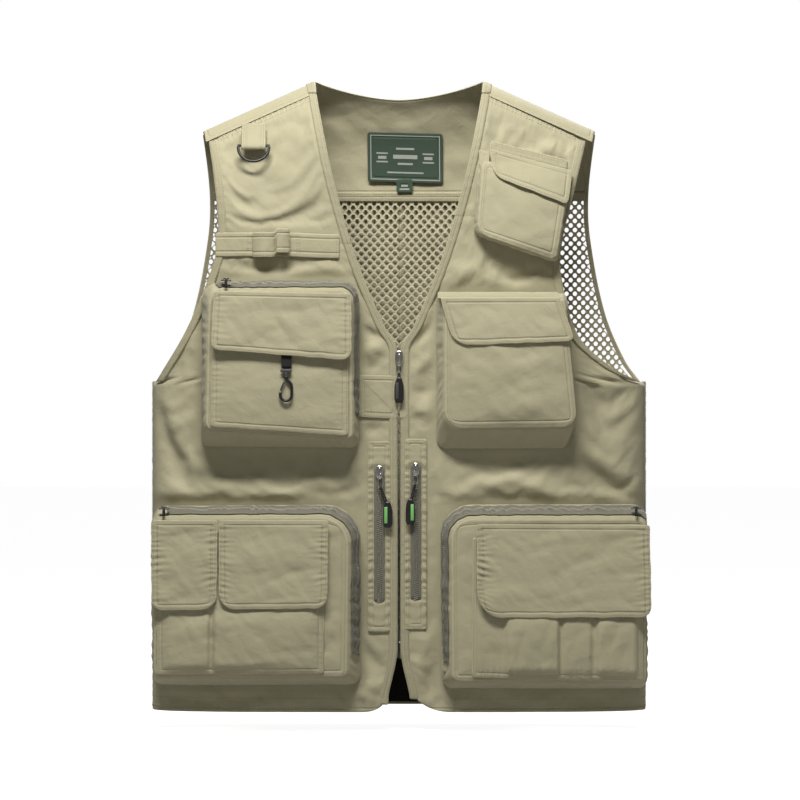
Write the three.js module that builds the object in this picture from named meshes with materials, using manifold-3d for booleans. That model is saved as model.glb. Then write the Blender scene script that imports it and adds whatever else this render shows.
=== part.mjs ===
// A sleeveless fishing vest: cloth fronts that hinge at the side seams, a net back, zipped box
// pockets with flaps, zip sliders with pulls, a D-ring, a rod strap and a snap hook.
// Millimetres. +Z is up, -Y is the wearer's front, -X is the wearer's right hand side.
// The origin lies on the shoulder line, midway between the two neck points.
import * as THREE from "three";
import { mergeVertices } from "three/addons/utils/BufferGeometryUtils.js";
import Module from "manifold-3d";

const wasm = await Module();
wasm.setup();

// ---- Driving dimensions ----
const HEM = -680; // the shoulder line down to the hem
const HALF_WIDTH = 267; // half the vest's width below the arms
const HALF_DEPTH = 58; // half the body's depth, front to back
const SQUARENESS = 3.5; // power of the body's superellipse outline
const SHOULDER_ROUND = 110; // height over which a shoulder rounds over
const NECK_HALF = 91; // half the neck's width on the shoulder line
const SHOULDER_SLOPE = 0.446;
const V_BOTTOM = -292; // where the two neck edges meet
const UNDERARM = -327;
const YOKE_DROP = 15; // the front yoke seam lies this far below the shoulder line
const BACK_YOKE_SEAM = -122;
const CHEST_LINE = -205; // where the stiffer chest gives way to the hanging front
const HEM_BAND_TOP = -640;

const CLOTH = 1.6; // modelled thickness of one cloth layer
const TAPE = 1.3; // modelled thickness of a tape or strap
const GAP = 0.4; // clearance between neighbouring pieces
const BINDING = 10; // width of the edge binding
const BINDING_LIFT = 0.8; // the binding stands proud of its panel
const PANEL_INSET = BINDING + 1.5; // a panel starts this far behind its bound edge
const PLACKET_EDGE = 1.2; // half the slit between the two plackets
const ZIP_TOP = -294;
const ZIP_BOTTOM = -622;

const CHEST_DEPTH = 28; // how far each pocket's face stands off the front
const LOWER_DEPTH = 30;
const MID_DEPTH = 24;
const SMALL_DEPTH = 17;
const PATCH_DEPTH = 5;
const PATCH_CLOTH = 1.28; // one layer of a patch pocket
const PIPING = 9; // a zip runs this far behind its pocket's face
const ZIP_SHARE = 0.68; // share of the way from a pocket's base outline to its face, at the zip
const ZIP_STANDOFF = 2.5; // a zip tape's outer side stands off the pocket's wall
const PER_CORNER = 3; // straight steps round one corner of an outline
const WIDE = [8, 2]; // steps along the edges of a pocket that wraps round the body

// ---- Looks ----
const LOOKS = {
  cloth: { color: 0xb9b390, roughness: 0.85, metalness: 0 },
  net: { color: 0xa8a27e, roughness: 0.9, metalness: 0 },
  binding: { color: 0xaaa47f, roughness: 0.85, metalness: 0 },
  lining: { color: 0x26231e, roughness: 0.9, metalness: 0 },
  label: { color: 0x3b5a44, roughness: 0.7, metalness: 0 },
  zip: { color: 0x7b7867, roughness: 0.6, metalness: 0 },
  metal: { color: 0xc9c9c6, roughness: 0.25, metalness: 1 },
  plastic: { color: 0x2b2925, roughness: 0.4, metalness: 0 },
};

// ---- Curves of the outline ----

// A smooth x(z) through a few [x, z] points, listed from the top down.
function curveThrough(points) {
  const slope = (i) => {
    const a = points[Math.max(i - 1, 0)];
    const b = points[Math.min(i + 1, points.length - 1)];
    return (b[0] - a[0]) / (b[1] - a[1]);
  };
  return (z) => {
    if (z >= points[0][1]) return points[0][0];
    const last = points.length - 1;
    if (z <= points[last][1]) return points[last][0];
    const i = points.findIndex((p) => p[1] < z) - 1;
    const [x0, z0] = points[i];
    const [x1, z1] = points[i + 1];
    const h = z1 - z0;
    const t = (z - z0) / h;
    const a = (1 + 2 * t) * (1 - t) ** 2 * x0 + t * (1 - t) ** 2 * h * slope(i);
    return a + t * t * (3 - 2 * t) * x1 + t * t * (t - 1) * h * slope(i + 1);
  };
}

const neckLine = curveThrough([
  [NECK_HALF, 0],
  [85, -35],
  [69.5, -110],
  [44.5, -196],
  [15, -267],
  [PLACKET_EDGE, V_BOTTOM],
  [PLACKET_EDGE, -450],
  [PLACKET_EDGE, -612],
  [11, -662],
]);
const neckEdge = (z) => Math.max(PLACKET_EDGE, neckLine(z));
const backArmhole = curveThrough([
  [214, -56],
  [208, -121],
  [210, -168],
  [226, -250],
  [248, -303],
  [265, UNDERARM],
]);
// The wearer's left front is cut a little deeper at the arm than the right.
const frontArmhole = {
  right: curveThrough([
    [208, -52],
    [199, -106],
    [194, -168],
    [201, -205],
    [229, -271],
    [263, UNDERARM],
  ]),
  left: curveThrough([
    [205, -52],
    [189, -117],
    [175, -175],
    [173, -208],
    [193, -278],
    [231, -312],
    [263, UNDERARM],
  ]),
};
const backNeck = (x) => -17.6 * (1 - Math.min(1, Math.abs(x) / NECK_HALF) ** 1.7);
const ridge = (x) => -Math.max(0, Math.abs(x) - NECK_HALF) * SHOULDER_SLOPE;

// ---- The body's surface ----
const girth = (x) => {
  const u = Math.min(1, Math.abs(x) / HALF_WIDTH);
  return (1 - u ** SQUARENESS) ** (1 / SQUARENESS);
};
const roundOver = (x, z) => {
  const h = Math.min(1, Math.max(0, (ridge(x) - z) / SHOULDER_ROUND));
  return Math.sqrt(1 - (1 - h) ** 2);
};
const depthAt = (x, z) => Math.max(GAP, HALF_DEPTH * girth(x) * roundOver(x, z));
const onFront = (x, z, lift = 0) => new THREE.Vector3(x, -depthAt(x, z) - lift, z);
const onBack = (x, z, lift = 0) => new THREE.Vector3(x, depthAt(x, z) + lift, z);

// ---- Closed meshes ----
const lerp = THREE.MathUtils.lerp;
const steps = (n) => Array.from({ length: n + 1 }, (_, i) => i / n);

// A closed mesh from its points and triangles, turned so that its faces point out.
function closedMesh(points, faces) {
  let volume = 0;
  for (const [a, b, c] of faces)
    volume += points[a].dot(new THREE.Vector3().crossVectors(points[b], points[c]));
  const turned = volume < 0 ? faces.map(([a, b, c]) => [a, c, b]) : faces;
  const geometry = new THREE.BufferGeometry().setFromPoints(points);
  return geometry.setIndex(turned.flat());
}

// A cloth layer: a grid of outer points thickened inwards, away from the side that faces out.
function shell(grid, thickness, outwardY) {
  const rows = grid.length;
  const cols = grid[0].length;
  const normalAt = (i, j) => {
    const down = grid[Math.min(i + 1, rows - 1)][j].clone().sub(grid[Math.max(i - 1, 0)][j]);
    const along = grid[i][Math.min(j + 1, cols - 1)].clone().sub(grid[i][Math.max(j - 1, 0)]);
    return down.cross(along).normalize();
  };
  const middle = normalAt(rows >> 1, cols >> 1);
  const sign = middle.y * outwardY < 0 ? -1 : 1;
  const inner = grid.map((row, i) =>
    row.map((point, j) => {
      const moved = point.clone().addScaledVector(normalAt(i, j), -sign * thickness);
      moved.y = outwardY < 0 ? Math.min(moved.y, -GAP) : Math.max(moved.y, GAP);
      return moved;
    }),
  );
  const points = [...grid.flat(), ...inner.flat()];
  const faces = [];
  const quad = (a, b, c, d) => faces.push([a, b, c], [a, c, d]);
  const back = rows * cols;
  for (let i = 0; i + 1 < rows; i++)
    for (let j = 0; j + 1 < cols; j++) {
      const at = i * cols + j;
      quad(at, at + cols, at + cols + 1, at + 1);
      quad(back + at, back + at + 1, back + at + cols + 1, back + at + cols);
    }
  for (let j = 0; j + 1 < cols; j++) {
    const foot = (rows - 1) * cols + j;
    quad(j, j + 1, back + j + 1, back + j);
    quad(foot, back + foot, back + foot + 1, foot + 1);
  }
  for (let i = 0; i + 1 < rows; i++) {
    const left = i * cols;
    const right = left + cols - 1;
    quad(left, back + left, back + left + cols, left + cols);
    quad(right, right + cols, back + right + cols, back + right);
  }
  return closedMesh(points, faces);
}

// A skin through rings of points with a fan over each end, or joined end to end when closed.
function loft(rings, closed = false) {
  const n = rings[0].length;
  const points = rings.flat();
  const faces = [];
  const last = closed ? rings.length : rings.length - 1;
  for (let i = 0; i < last; i++)
    for (let j = 0; j < n; j++) {
      const a = i * n + j;
      const b = i * n + ((j + 1) % n);
      const c = ((i + 1) % rings.length) * n + ((j + 1) % n);
      const d = ((i + 1) % rings.length) * n + j;
      faces.push([a, b, c], [a, c, d]);
    }
  if (!closed)
    for (const [ring, start, flip] of [
      [rings[0], 0, true],
      [rings[rings.length - 1], (rings.length - 1) * n, false],
    ]) {
      const centre = ring.reduce((sum, p) => sum.add(p), new THREE.Vector3()).divideScalar(n);
      points.push(centre);
      for (let j = 0; j < n; j++) {
        const a = start + j;
        const b = start + ((j + 1) % n);
        faces.push(flip ? [points.length - 1, b, a] : [points.length - 1, a, b]);
      }
    }
  return closedMesh(points, faces);
}

// An outline of [x, z] points round four corners, clockwise from the top left, each rounded by
// its own radius. perEdge holds the steps along a top or bottom edge, then along a side.
function roundedOutline(corners, radii, perEdge = [3, 2]) {
  const outline = [];
  corners.forEach((corner, i) => {
    const here = new THREE.Vector2(...corner);
    const before = new THREE.Vector2(...corners[(i + 3) % 4]).sub(here);
    const after = new THREE.Vector2(...corners[(i + 1) % 4]).sub(here);
    const start = here.clone().addScaledVector(before.clone().normalize(), radii[i]);
    const end = here.clone().addScaledVector(after.clone().normalize(), radii[i]);
    outline.push(...new THREE.QuadraticBezierCurve(start, here, end).getPoints(PER_CORNER));
    const room = radii[(i + 1) % 4];
    const stop = here.clone().add(after).addScaledVector(after.clone().normalize(), -room);
    const count = perEdge[i % 2];
    for (let k = 1; k < count; k++) outline.push(end.clone().lerp(stop, k / count));
  });
  return outline;
}
const rectangle = (x0, x1, z0, z1) => [
  [x0, z1],
  [x1, z1],
  [x1, z0],
  [x0, z0],
];
const scaledOutline = (outline, s) => {
  const centre = outline.reduce((sum, p) => sum.add(p), new THREE.Vector2());
  centre.divideScalar(outline.length);
  return outline.map((p) => p.clone().sub(centre).multiplyScalar(s).add(centre));
};
// The outline drawn in by a width, measured towards its middle.
function insetOutline(outline, width) {
  const box = new THREE.Box2().setFromPoints(outline);
  const size = box.getSize(new THREE.Vector2());
  const centre = box.getCenter(new THREE.Vector2());
  return outline.map((p) => {
    const q = p.clone().sub(centre);
    return new THREE.Vector2(
      centre.x + q.x * (1 - (2 * width) / size.x),
      centre.y + q.y * (1 - (2 * width) / size.y),
    );
  });
}
const ringAt = (outline, place) => outline.map((p) => place(p.x, p.y));

// A flat piece that follows place(x, z, lift), such as a flap.
function plate(outline, place, thickness) {
  const lifts = [0, thickness];
  const [back, front] = lifts.map((lift) =>
    [0.4, 1].map((s) => ringAt(scaledOutline(outline, s), (x, z) => place(x, z, lift))),
  );
  return loft([back[0], back[1], front[1], front[0]]);
}

// A box pocket open at the back: a wall from its sewn base up to the zip line and the face.
function boxPocket(base, face, depth) {
  const wall = CLOTH;
  // A straight edge that spans the curved side stands off it a little.
  const baseLift = (x) => 3 * GAP + 5 * (x / HALF_WIDTH) ** 6;
  const zipLine = base.map((p, i) => p.clone().lerp(face[i], ZIP_SHARE));
  const sewn = (outline) => ringAt(outline, (x, z) => onFront(x, z, baseLift(x)));
  const level = (outline, d) => ringAt(outline, (x, z) => onPlane(x, z, d));
  return loft([
    level(scaledOutline(face, 0.35), depth - wall),
    level(scaledOutline(face, 0.7), depth - wall),
    level(insetOutline(face, wall), depth - wall),
    level(insetOutline(zipLine, wall), depth - PIPING),
    sewn(insetOutline(base, wall)),
    sewn(base),
    level(zipLine, depth - PIPING),
    level(face, depth),
    level(scaledOutline(face, 0.7), depth),
    level(scaledOutline(face, 0.35), depth),
  ]);
}
const onPlane = (x, z, d) => new THREE.Vector3(x, -HALF_DEPTH - d, z);

// A zip coil and tape on the band between a box pocket's zip line and its face.
function zipBand(base, face, depth, from, to) {
  const count = base.length;
  const picks = [];
  for (let i = from; i !== to + 1; i++) picks.push((i + count) % count);
  const centre = base.reduce((sum, q) => sum.add(q), new THREE.Vector2()).divideScalar(count);
  const rows = [0.12, 0.88].map((t) =>
    picks.map((i) => {
      const low = base[i].clone().lerp(face[i], ZIP_SHARE);
      const p = low.lerp(face[i], t);
      const out = p.clone().sub(centre).normalize();
      return onPlane(p.x, p.y, depth - PIPING + t * PIPING)
        .add(new THREE.Vector3(out.x, 0, out.y).multiplyScalar(ZIP_STANDOFF));
    }),
  );
  return shell(rows, TAPE, -1);
}

// An open-topped patch pocket. columns lists [x, depth] across it; place puts it on its backing.
function patchPocket(columns, zBottom, zTop, place, outwardY = -1) {
  const rows = [0, 0.035, 0.3, 0.65, 1];
  const grid = rows.map((t, i) =>
    columns.map(([x, d]) => {
      return place(x, lerp(zBottom, zTop, t), PATCH_CLOTH + GAP + (i === 0 ? 0 : d));
    }),
  );
  return shell(grid, PATCH_CLOTH, outwardY);
}
const evenColumns = (x0, x1, depth, n) => [
  [x0, 0],
  ...steps(n).map((t) => [lerp(x0 + 2.5, x1 - 2.5, t), depth]),
  [x1, 0],
];

// A bent round bar through hand-placed points.
function bar(path, radius, sides, closed = false) {
  const n = path.length;
  const rings = path.map((p, i) => {
    const next = path[closed ? (i + 1) % n : Math.min(i + 1, n - 1)];
    const last = path[closed ? (i + n - 1) % n : Math.max(i - 1, 0)];
    const along = next.clone().sub(last).normalize();
    const across = new THREE.Vector3(0, 1, 0);
    const side = new THREE.Vector3().crossVectors(along, across).normalize();
    return steps(sides)
      .slice(0, sides)
      .map((t) => {
        const turn = 2 * Math.PI * t;
        return p
          .clone()
          .addScaledVector(side, radius * Math.cos(turn))
          .addScaledVector(across, radius * Math.sin(turn));
      });
  });
  return loft(rings, closed);
}

function box(x0, x1, y0, y1, z0, z1) {
  return new THREE.BoxGeometry(x1 - x0, y1 - y0, z1 - z0).translate(
    (x0 + x1) / 2,
    (y0 + y1) / 2,
    (z0 + z1) / 2,
  );
}

// ---- Joining ----
function toSolid(geometry) {
  const bare = geometry.clone();
  bare.deleteAttribute("normal");
  bare.deleteAttribute("uv");
  const merged = mergeVertices(bare, 1e-4);
  return new wasm.Manifold(
    new wasm.Mesh({
      numProp: 3,
      vertProperties: new Float32Array(merged.attributes.position.array),
      triVerts: new Uint32Array(merged.index.array),
    }),
  );
}
function toGeometry(made) {
  const mesh = made.getMesh();
  const geometry = new THREE.BufferGeometry();
  geometry.setAttribute("position", new THREE.BufferAttribute(mesh.vertProperties, 3));
  return geometry.setIndex(new THREE.BufferAttribute(mesh.triVerts, 1));
}
const joined = (...parts) => toGeometry(parts.map(toSolid).reduce((a, b) => a.add(b)));

// ---- The scene graph: one group for each body that moves as one ----
const vest = new THREE.Group();
function bodyIn(parent) {
  const group = new THREE.Group();
  parent.add(group);
  return group;
}
function add(group, name, geometry, look) {
  const mesh = new THREE.Mesh(geometry, new THREE.MeshStandardMaterial(LOOKS[look]));
  mesh.name = name;
  group.add(mesh);
  return mesh;
}
const back = bodyIn(vest);
const chest = { right: bodyIn(vest), left: bodyIn(vest) };
const front = { right: bodyIn(chest.right), left: bodyIn(chest.left) };
const SIDES = { right: -1, left: 1 };

// ---- Back, yokes and label ----
function buildBackYoke() {
  const grid = steps(6).map((t) =>
    steps(18).map((u) => {
      const x = lerp(-1, 1, u) * lerp(203, 196, t);
      const clear = BINDING * (1 - THREE.MathUtils.smoothstep(Math.abs(x), NECK_HALF, 110));
      const top = ridge(x) + backNeck(x) - clear;
      return onBack(x, lerp(top, BACK_YOKE_SEAM, t * t));
    }),
  );
  add(back, "back_yoke", shell(grid, CLOTH, 1), "cloth");
}

function buildBackNeckBinding() {
  const grid = [0, BINDING - 2].map((drop) =>
    steps(14).map((u) => {
      const x = lerp(-1, 1, u) * (NECK_HALF - 3);
      return onBack(x, backNeck(x) - drop, BINDING_LIFT);
    }),
  );
  add(back, "back_neck_binding", shell(grid, 2 * BINDING_LIFT, 1), "binding");
}

// Columns crowd towards the side seams, where the cross-section turns fastest.
const crowded = (u) => Math.sign(u) * (1 - (1 - Math.abs(u)) ** 2.2);

function buildBackPanel(name, zTop, zBottom, rows, look) {
  const grid = steps(rows).map((t) =>
    steps(20).map((u) => {
      const z = lerp(zTop, zBottom, t);
      const edge = z > UNDERARM - BINDING ? backArmhole(z) - BINDING - 3 : HALF_WIDTH;
      return onBack(crowded(lerp(-1, 1, u)) * edge, z);
    }),
  );
  add(back, name, shell(grid, CLOTH, 1), look);
}

function buildHemFacing() {
  const inside = CLOTH + GAP;
  const grid = [HEM_BAND_TOP + 22, HEM + 2].map((z) =>
    steps(8).map((u) => onBack(lerp(-150, 150, u), z, -inside)),
  );
  add(back, "back_hem_facing", shell(grid, CLOTH * 0.7, 1), "lining");
}

function buildBackPocket() {
  const place = (x, z, d) => onBack(x, z, d);
  const columns = evenColumns(-150, 150, 12, 8);
  add(back, "back_cargo_pocket", patchPocket(columns, -612, -128, place, 1), "cloth");
}

function buildShoulderYoke(side) {
  const s = SIDES[side];
  const grid = steps(4).map((t) =>
    steps(8).map((u) => {
      const x = lerp(lerp(NECK_HALF, 213, u), lerp(neckEdge(-YOKE_DROP), 208, u), t);
      return onFront(s * x, ridge(x) - YOKE_DROP * t * t);
    }),
  );
  add(back, "shoulder_yoke_" + side, shell(grid, CLOTH, -1), "cloth");
}

function buildBackArmholeBinding(side) {
  const s = SIDES[side];
  const grid = steps(14).map((t) => {
    const z = lerp(-58, UNDERARM, t);
    const edge = backArmhole(z);
    return [edge - BINDING + GAP, edge].map((x) => onBack(s * x, z, BINDING_LIFT));
  });
  add(back, "back_armhole_binding_" + side, shell(grid, 2 * BINDING_LIFT, 1), "binding");
}

function buildNeckLabel() {
  const inside = (x, z, lift) => onBack(x, z, -CLOTH - 2 * GAP - lift);
  const label = roundedOutline(rectangle(-35, 48, -106, -52), [1, 1, 1, 1]);
  const tabSkin = HALF_DEPTH - CLOTH - 2 * GAP;
  const sizeTab = box(-3, 15, tabSkin - 0.7, tabSkin - 0.1, -117, -102);
  add(back, "neck_label", joined(plate(label, inside, 0.8), sizeTab), "label");
}

// ---- Fronts ----
function buildChestPanel(side) {
  const s = SIDES[side];
  const grid = steps(8).map((t) =>
    steps(9).map((u) => {
      const topX = lerp(neckEdge(-YOKE_DROP) + PANEL_INSET, 207, u);
      const z = lerp(ridge(topX) - YOKE_DROP - 2 * GAP, CHEST_LINE, t);
      const x = lerp(neckEdge(z) + PANEL_INSET, frontArmhole[side](z), u);
      return onFront(s * lerp(topX, x, Math.min(1, 8 * t)), z);
    }),
  );
  add(chest[side], "chest_panel_" + side, shell(grid, CLOTH, -1), "cloth");
}

function bindingStrip(side, topOf, zBottom, rows) {
  const s = SIDES[side];
  const grid = steps(rows).map((t) =>
    [0, BINDING].map((w) => {
      const z = lerp(topOf(w), zBottom, t);
      return onFront(s * (neckEdge(z) + w), z, BINDING_LIFT);
    }),
  );
  return shell(grid, CLOTH + BINDING_LIFT, -1);
}

function buildFrontPanel(side) {
  const s = SIDES[side];
  const top = CHEST_LINE - GAP;
  const heights = [...steps(6).map((t) => lerp(top, UNDERARM, t)), -338];
  heights.push(...steps(10).slice(1).map((t) => lerp(-338, HEM, t)));
  const grid = heights.map((z) =>
    steps(11).map((u) => {
      const inner = neckEdge(z) + PANEL_INSET + (z === HEM ? 8 : 0);
      const outer = z > UNDERARM - 1 ? frontArmhole[side](z) : HALF_WIDTH;
      return onFront(s * lerp(inner, outer, crowded(u)), z);
    }),
  );
  add(front[side], "front_panel_" + side, shell(grid, CLOTH, -1), "cloth");
}

function buildFrontEdges(side) {
  const seam = (w) => ridge(neckEdge(-YOKE_DROP) + w) - YOKE_DROP - 2 * GAP;
  add(chest[side], "neck_binding_" + side, bindingStrip(side, seam, CHEST_LINE, 8), "binding");
  const placket = bindingStrip(side, () => CHEST_LINE - GAP, HEM + 8, 24);
  add(front[side], "placket_" + side, placket, "binding");
}

// ---- Main zip ----
const CHAIN_Y = -55.8; // front of the coil chain, just behind the plackets
const CHAIN_THICK = 2.4;
const SLIDER_Y = -61; // back of the slider's front plate, clear of the closure tab
const BAIL = 4.6; // how far a slider's bail stands off the back of its front plate

function buildMainChain(side) {
  const s = SIDES[side];
  const edges = [0.8, 4.8].map((x) => s * x).sort((a, b) => a - b);
  const chain = box(...edges, CHAIN_Y, CHAIN_Y + CHAIN_THICK, ZIP_BOTTOM, ZIP_TOP);
  add(front[side], "main_zip_chain_" + side, chain, "zip");
}

// A pull hangs from the slider's bail: a cord of the given lean, then a grip.
function pullOutline(lean, cordLength, gripLength, gripWidth) {
  const outline = new THREE.Shape();
  const half = gripWidth / 2;
  const foot = -cordLength - gripLength;
  outline.moveTo(-1.4, -3);
  outline.lineTo(lean - 1.4, -cordLength);
  outline.lineTo(lean - half, -cordLength - 5);
  outline.lineTo(lean - half, foot + 3);
  outline.lineTo(lean - half + 2, foot);
  outline.lineTo(lean + half - 2, foot);
  outline.lineTo(lean + half, foot + 3);
  outline.lineTo(lean + half, -cordLength - 5);
  outline.lineTo(lean + 1.4, -cordLength);
  outline.lineTo(1.4, -3);
  return outline;
}
function pullGeometry(lean, cordLength, gripLength, gripWidth) {
  const thickness = 2.2;
  const outline = pullOutline(lean, cordLength, gripLength, gripWidth);
  const flat = new THREE.ExtrudeGeometry(outline, { depth: thickness, bevelEnabled: false });
  return flat.rotateX(Math.PI / 2).translate(0, thickness / 2, 0);
}

function buildMainSlider() {
  const z = -301;
  const group = bodyIn(front.left);
  const slider = joined(
    box(-4.5, 4.5, SLIDER_Y - 1.4, SLIDER_Y, z - 8, z + 8),
    box(-0.5, 0.5, SLIDER_Y - 0.5, -51.5, z - 6, z + 6),
    box(-4.2, 4.2, -52.6, -51.2, z - 8, z + 8),
    box(-3, 3, SLIDER_Y - BAIL, SLIDER_Y - 1, z - 4, z - 2),
  );
  add(group, "main_slider", slider, "metal");
  const pull = add(bodyIn(group), "main_pull", pullGeometry(0, 20, 25, 10), "plastic");
  pull.position.set(0, SLIDER_Y - 0.66 * BAIL, z - 3);
}

// ---- Hand pockets: an upright zip on each front and a cloth bag behind it ----
const HAND_ZIP = { right: { x: -21, top: -415 }, left: { x: 18, top: -412 } };
const HAND_ZIP_LENGTH = 150;

function buildHandPocket(side) {
  const s = SIDES[side];
  const { x, top } = HAND_ZIP[side];
  const skin = -HALF_DEPTH - GAP;
  const bottom = top - HAND_ZIP_LENGTH;
  const strip = joined(
    box(x - 6, x + 6, skin - 1.2, skin, bottom - 4, top + 4),
    box(x - 1.6, x + 1.6, skin - 2.8, skin - 1, bottom, top),
  );
  add(front[side], "hand_zip_" + side, strip, "zip");

  const z = top - 8;
  const cover = skin - 3.3;
  const group = bodyIn(front[side]);
  const slider = joined(
    box(x - 3.8, x + 3.8, cover - 1.2, cover, z - 7, z + 7),
    box(x - 3.8, x - 2.2, cover - 0.4, cover + 1.4, z - 7, z + 7),
    box(x + 2.2, x + 3.8, cover - 0.4, cover + 1.4, z - 7, z + 7),
    box(x - 2.5, x + 2.5, cover - BAIL, cover - 1, z - 4, z - 2),
  );
  add(group, "hand_slider_" + side, slider, "metal");
  const grip = pullGeometry(side === "right" ? 9 : -6, 31, 25, 10);
  const pull = add(bodyIn(group), "hand_pull_" + side, grip, "plastic");
  pull.position.set(x, cover - 0.66 * BAIL, z - 3);

  const inside = (px, pz, lift) => onFront(px, pz, -CLOTH - GAP - lift);
  const bag = rectangle(...[s * 14, s * 150].sort((a, b) => a - b), -634, -408);
  const outline = roundedOutline(bag, [4, 4, 20, 20]);
  add(front[side], "inner_pocket_" + side, plate(outline, inside, 2), "lining");
}

// ---- Box pockets ----
function smallSlider(group, name, x, z, y) {
  const slider = joined(
    box(x - 6, x + 6, y - 5, y + 3, z, z + 1.6),
    box(x - 1.6, x + 1.6, y - 7, y - 4, z - 8, z + 1),
  );
  return add(bodyIn(group), name, slider, "metal");
}

function flap(group, name, outline, depth) {
  const place = (x, z, lift) => onPlane(x, z, depth + lift);
  add(bodyIn(group), name, plate(outline, place, CLOTH), "cloth");
}

function buildChestPocket() {
  const group = front.right;
  const base = roundedOutline(rectangle(-212, -44, -396, -216), [16, 16, 8, 8], WIDE);
  const face = roundedOutline(rectangle(-203, -50, -384, -228), [14, 14, 6, 6], WIDE);
  add(group, "chest_bag", boxPocket(base, face, CHEST_DEPTH), "cloth");
  add(group, "chest_zip", zipBand(base, face, CHEST_DEPTH, 2, 16), "zip");
  smallSlider(group, "chest_slider", -184, -219, -HALF_DEPTH - CHEST_DEPTH + 4);

  const onFace = (x, z, d) => onPlane(x, z, CHEST_DEPTH + d);
  const patch = evenColumns(-198, -55, PATCH_DEPTH, 3);
  add(group, "chest_patch", patchPocket(patch, -378, -246, onFace), "cloth");

  const outer = CHEST_DEPTH + PATCH_CLOTH + PATCH_DEPTH + 2 * GAP;
  const webbing = box(-125, -114, -HALF_DEPTH - outer - TAPE, -HALF_DEPTH - outer, -311, -262);
  add(group, "hook_webbing", webbing, "plastic");

  const shape = roundedOutline(
    [
      [-197, -230],
      [-50, -232],
      [-50, -304],
      [-200, -291],
    ],
    [2, 2, 12, 8],
  );
  flap(group, "chest_flap", shape, outer + TAPE + 2 * GAP);
}

function buildSnapHook() {
  const y = -HALF_DEPTH - CHEST_DEPTH - 8.5;
  const x = -120;
  const top = -312.5;
  const swivel = bodyIn(front.right);
  const eye = joined(
    box(x - 6, x + 6, y - 1.5, y + 1.5, top - 3, top - GAP),
    box(x - 1.5, x + 1.5, y - 1.5, y + 1.5, top - 7, top - 2),
  );
  add(swivel, "hook_swivel", eye, "plastic");

  const hook = bodyIn(swivel);
  const at = (dx, dz) => new THREE.Vector3(x + dx, y, top + dz);
  const bend = steps(8).map((t) => {
    const turn = Math.PI * t;
    return at(6 * Math.cos(turn), -28 - 6 * Math.sin(turn));
  });
  const path = [at(0, -7.6), at(0.5, -11), at(5, -15), at(6, -19), ...bend, at(-6, -25)];
  add(hook, "snap_hook", bar(path, 1.5, 8), "plastic");
  const gate = [at(-5.6, -23.2), at(-4, -18.5), at(-1.8, -14)];
  add(bodyIn(hook), "hook_gate", bar(gate, 1, 6), "metal");
}

function buildLowerRightPocket() {
  const group = front.right;
  const base = roundedOutline(rectangle(-263, -41, -652, -458), [8, 34, 8, 8], WIDE);
  const face = roundedOutline(rectangle(-258, -54, -641, -472), [8, 27, 6, 6], WIDE);
  add(group, "lower_right_bag", boxPocket(base, face, LOWER_DEPTH), "cloth");
  add(group, "lower_right_zip", zipBand(base, face, LOWER_DEPTH, 2, 16), "zip");
  smallSlider(group, "lower_right_slider", -250, -462, -HALF_DEPTH - LOWER_DEPTH + 4);

  const onFace = (x, z, d) => onPlane(x, z, LOWER_DEPTH + d);
  const columns = [
    [-256, 0],
    [-253, PATCH_DEPTH],
    [-201, PATCH_DEPTH + 1],
    [-198, 2.4],
    [-195, PATCH_DEPTH + 1],
    [-135, PATCH_DEPTH + 1],
    [-82, PATCH_DEPTH],
    [-78, 0],
  ];
  add(group, "lower_right_patch", patchPocket(columns, -636, -486, onFace), "cloth");

  const outer = LOWER_DEPTH + PATCH_CLOTH + PATCH_DEPTH + 1 + 3 * GAP;
  const small = roundedOutline(rectangle(-264, -192.4, -568, -474), [2, 2, 15, 10]);
  flap(group, "lower_right_flap_small", small, outer);
  const large = roundedOutline(rectangle(-191.6, -75, -568, -474), [2, 2, 14, 18]);
  flap(group, "lower_right_flap_large", large, outer);
}

function buildSmallPocket() {
  const group = chest.left;
  const lean = (x, z, d) => {
    const t = THREE.MathUtils.clamp((z + 92) / -90, 0, 1);
    return onFront(x, z, 4 * GAP + lerp(0.35, 1, t) * d);
  };
  const base = roundedOutline(
    [
      [85, -86],
      [184, -109],
      [169, -199],
      [80, -169],
    ],
    [4, 4, 6, 6],
  );
  const face = insetOutline(base, 4);
  const walls = [
    ringAt(scaledOutline(face, 0.5), (x, z) => lean(x, z, SMALL_DEPTH - CLOTH)),
    ringAt(insetOutline(face, CLOTH), (x, z) => lean(x, z, SMALL_DEPTH - CLOTH)),
    ringAt(insetOutline(base, CLOTH), (x, z) => lean(x, z, 0)),
    ringAt(base, (x, z) => lean(x, z, 0)),
    ringAt(face, (x, z) => lean(x, z, SMALL_DEPTH)),
    ringAt(scaledOutline(face, 0.5), (x, z) => lean(x, z, SMALL_DEPTH)),
  ];
  add(group, "small_bag", loft(walls), "cloth");

  const shape = roundedOutline(
    [
      [97, -76],
      [186, -99.5],
      [181, -137],
      [102, -104],
    ],
    [1.5, 1.5, 8, 8],
  );
  const over = (x, z, lift) => lean(x, z, SMALL_DEPTH + 1.5).add(new THREE.Vector3(0, -lift, 0));
  add(bodyIn(group), "small_flap", plate(shape, over, CLOTH), "cloth");
}

function buildMidPocket() {
  const group = front.left;
  const base = roundedOutline(rectangle(40, 180, -398, -232), [4, 4, 8, 8]);
  const face = roundedOutline(rectangle(50, 188, -375, -240), [4, 4, 18, 14]);
  add(group, "mid_bag", boxPocket(base, face, MID_DEPTH), "cloth");
  const shape = roundedOutline(
    [
      [43, -237],
      [171, -237],
      [188, -286],
      [57, -287],
    ],
    [2, 2, 10, 14],
  );
  flap(group, "mid_flap", shape, MID_DEPTH + 2);
}

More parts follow.
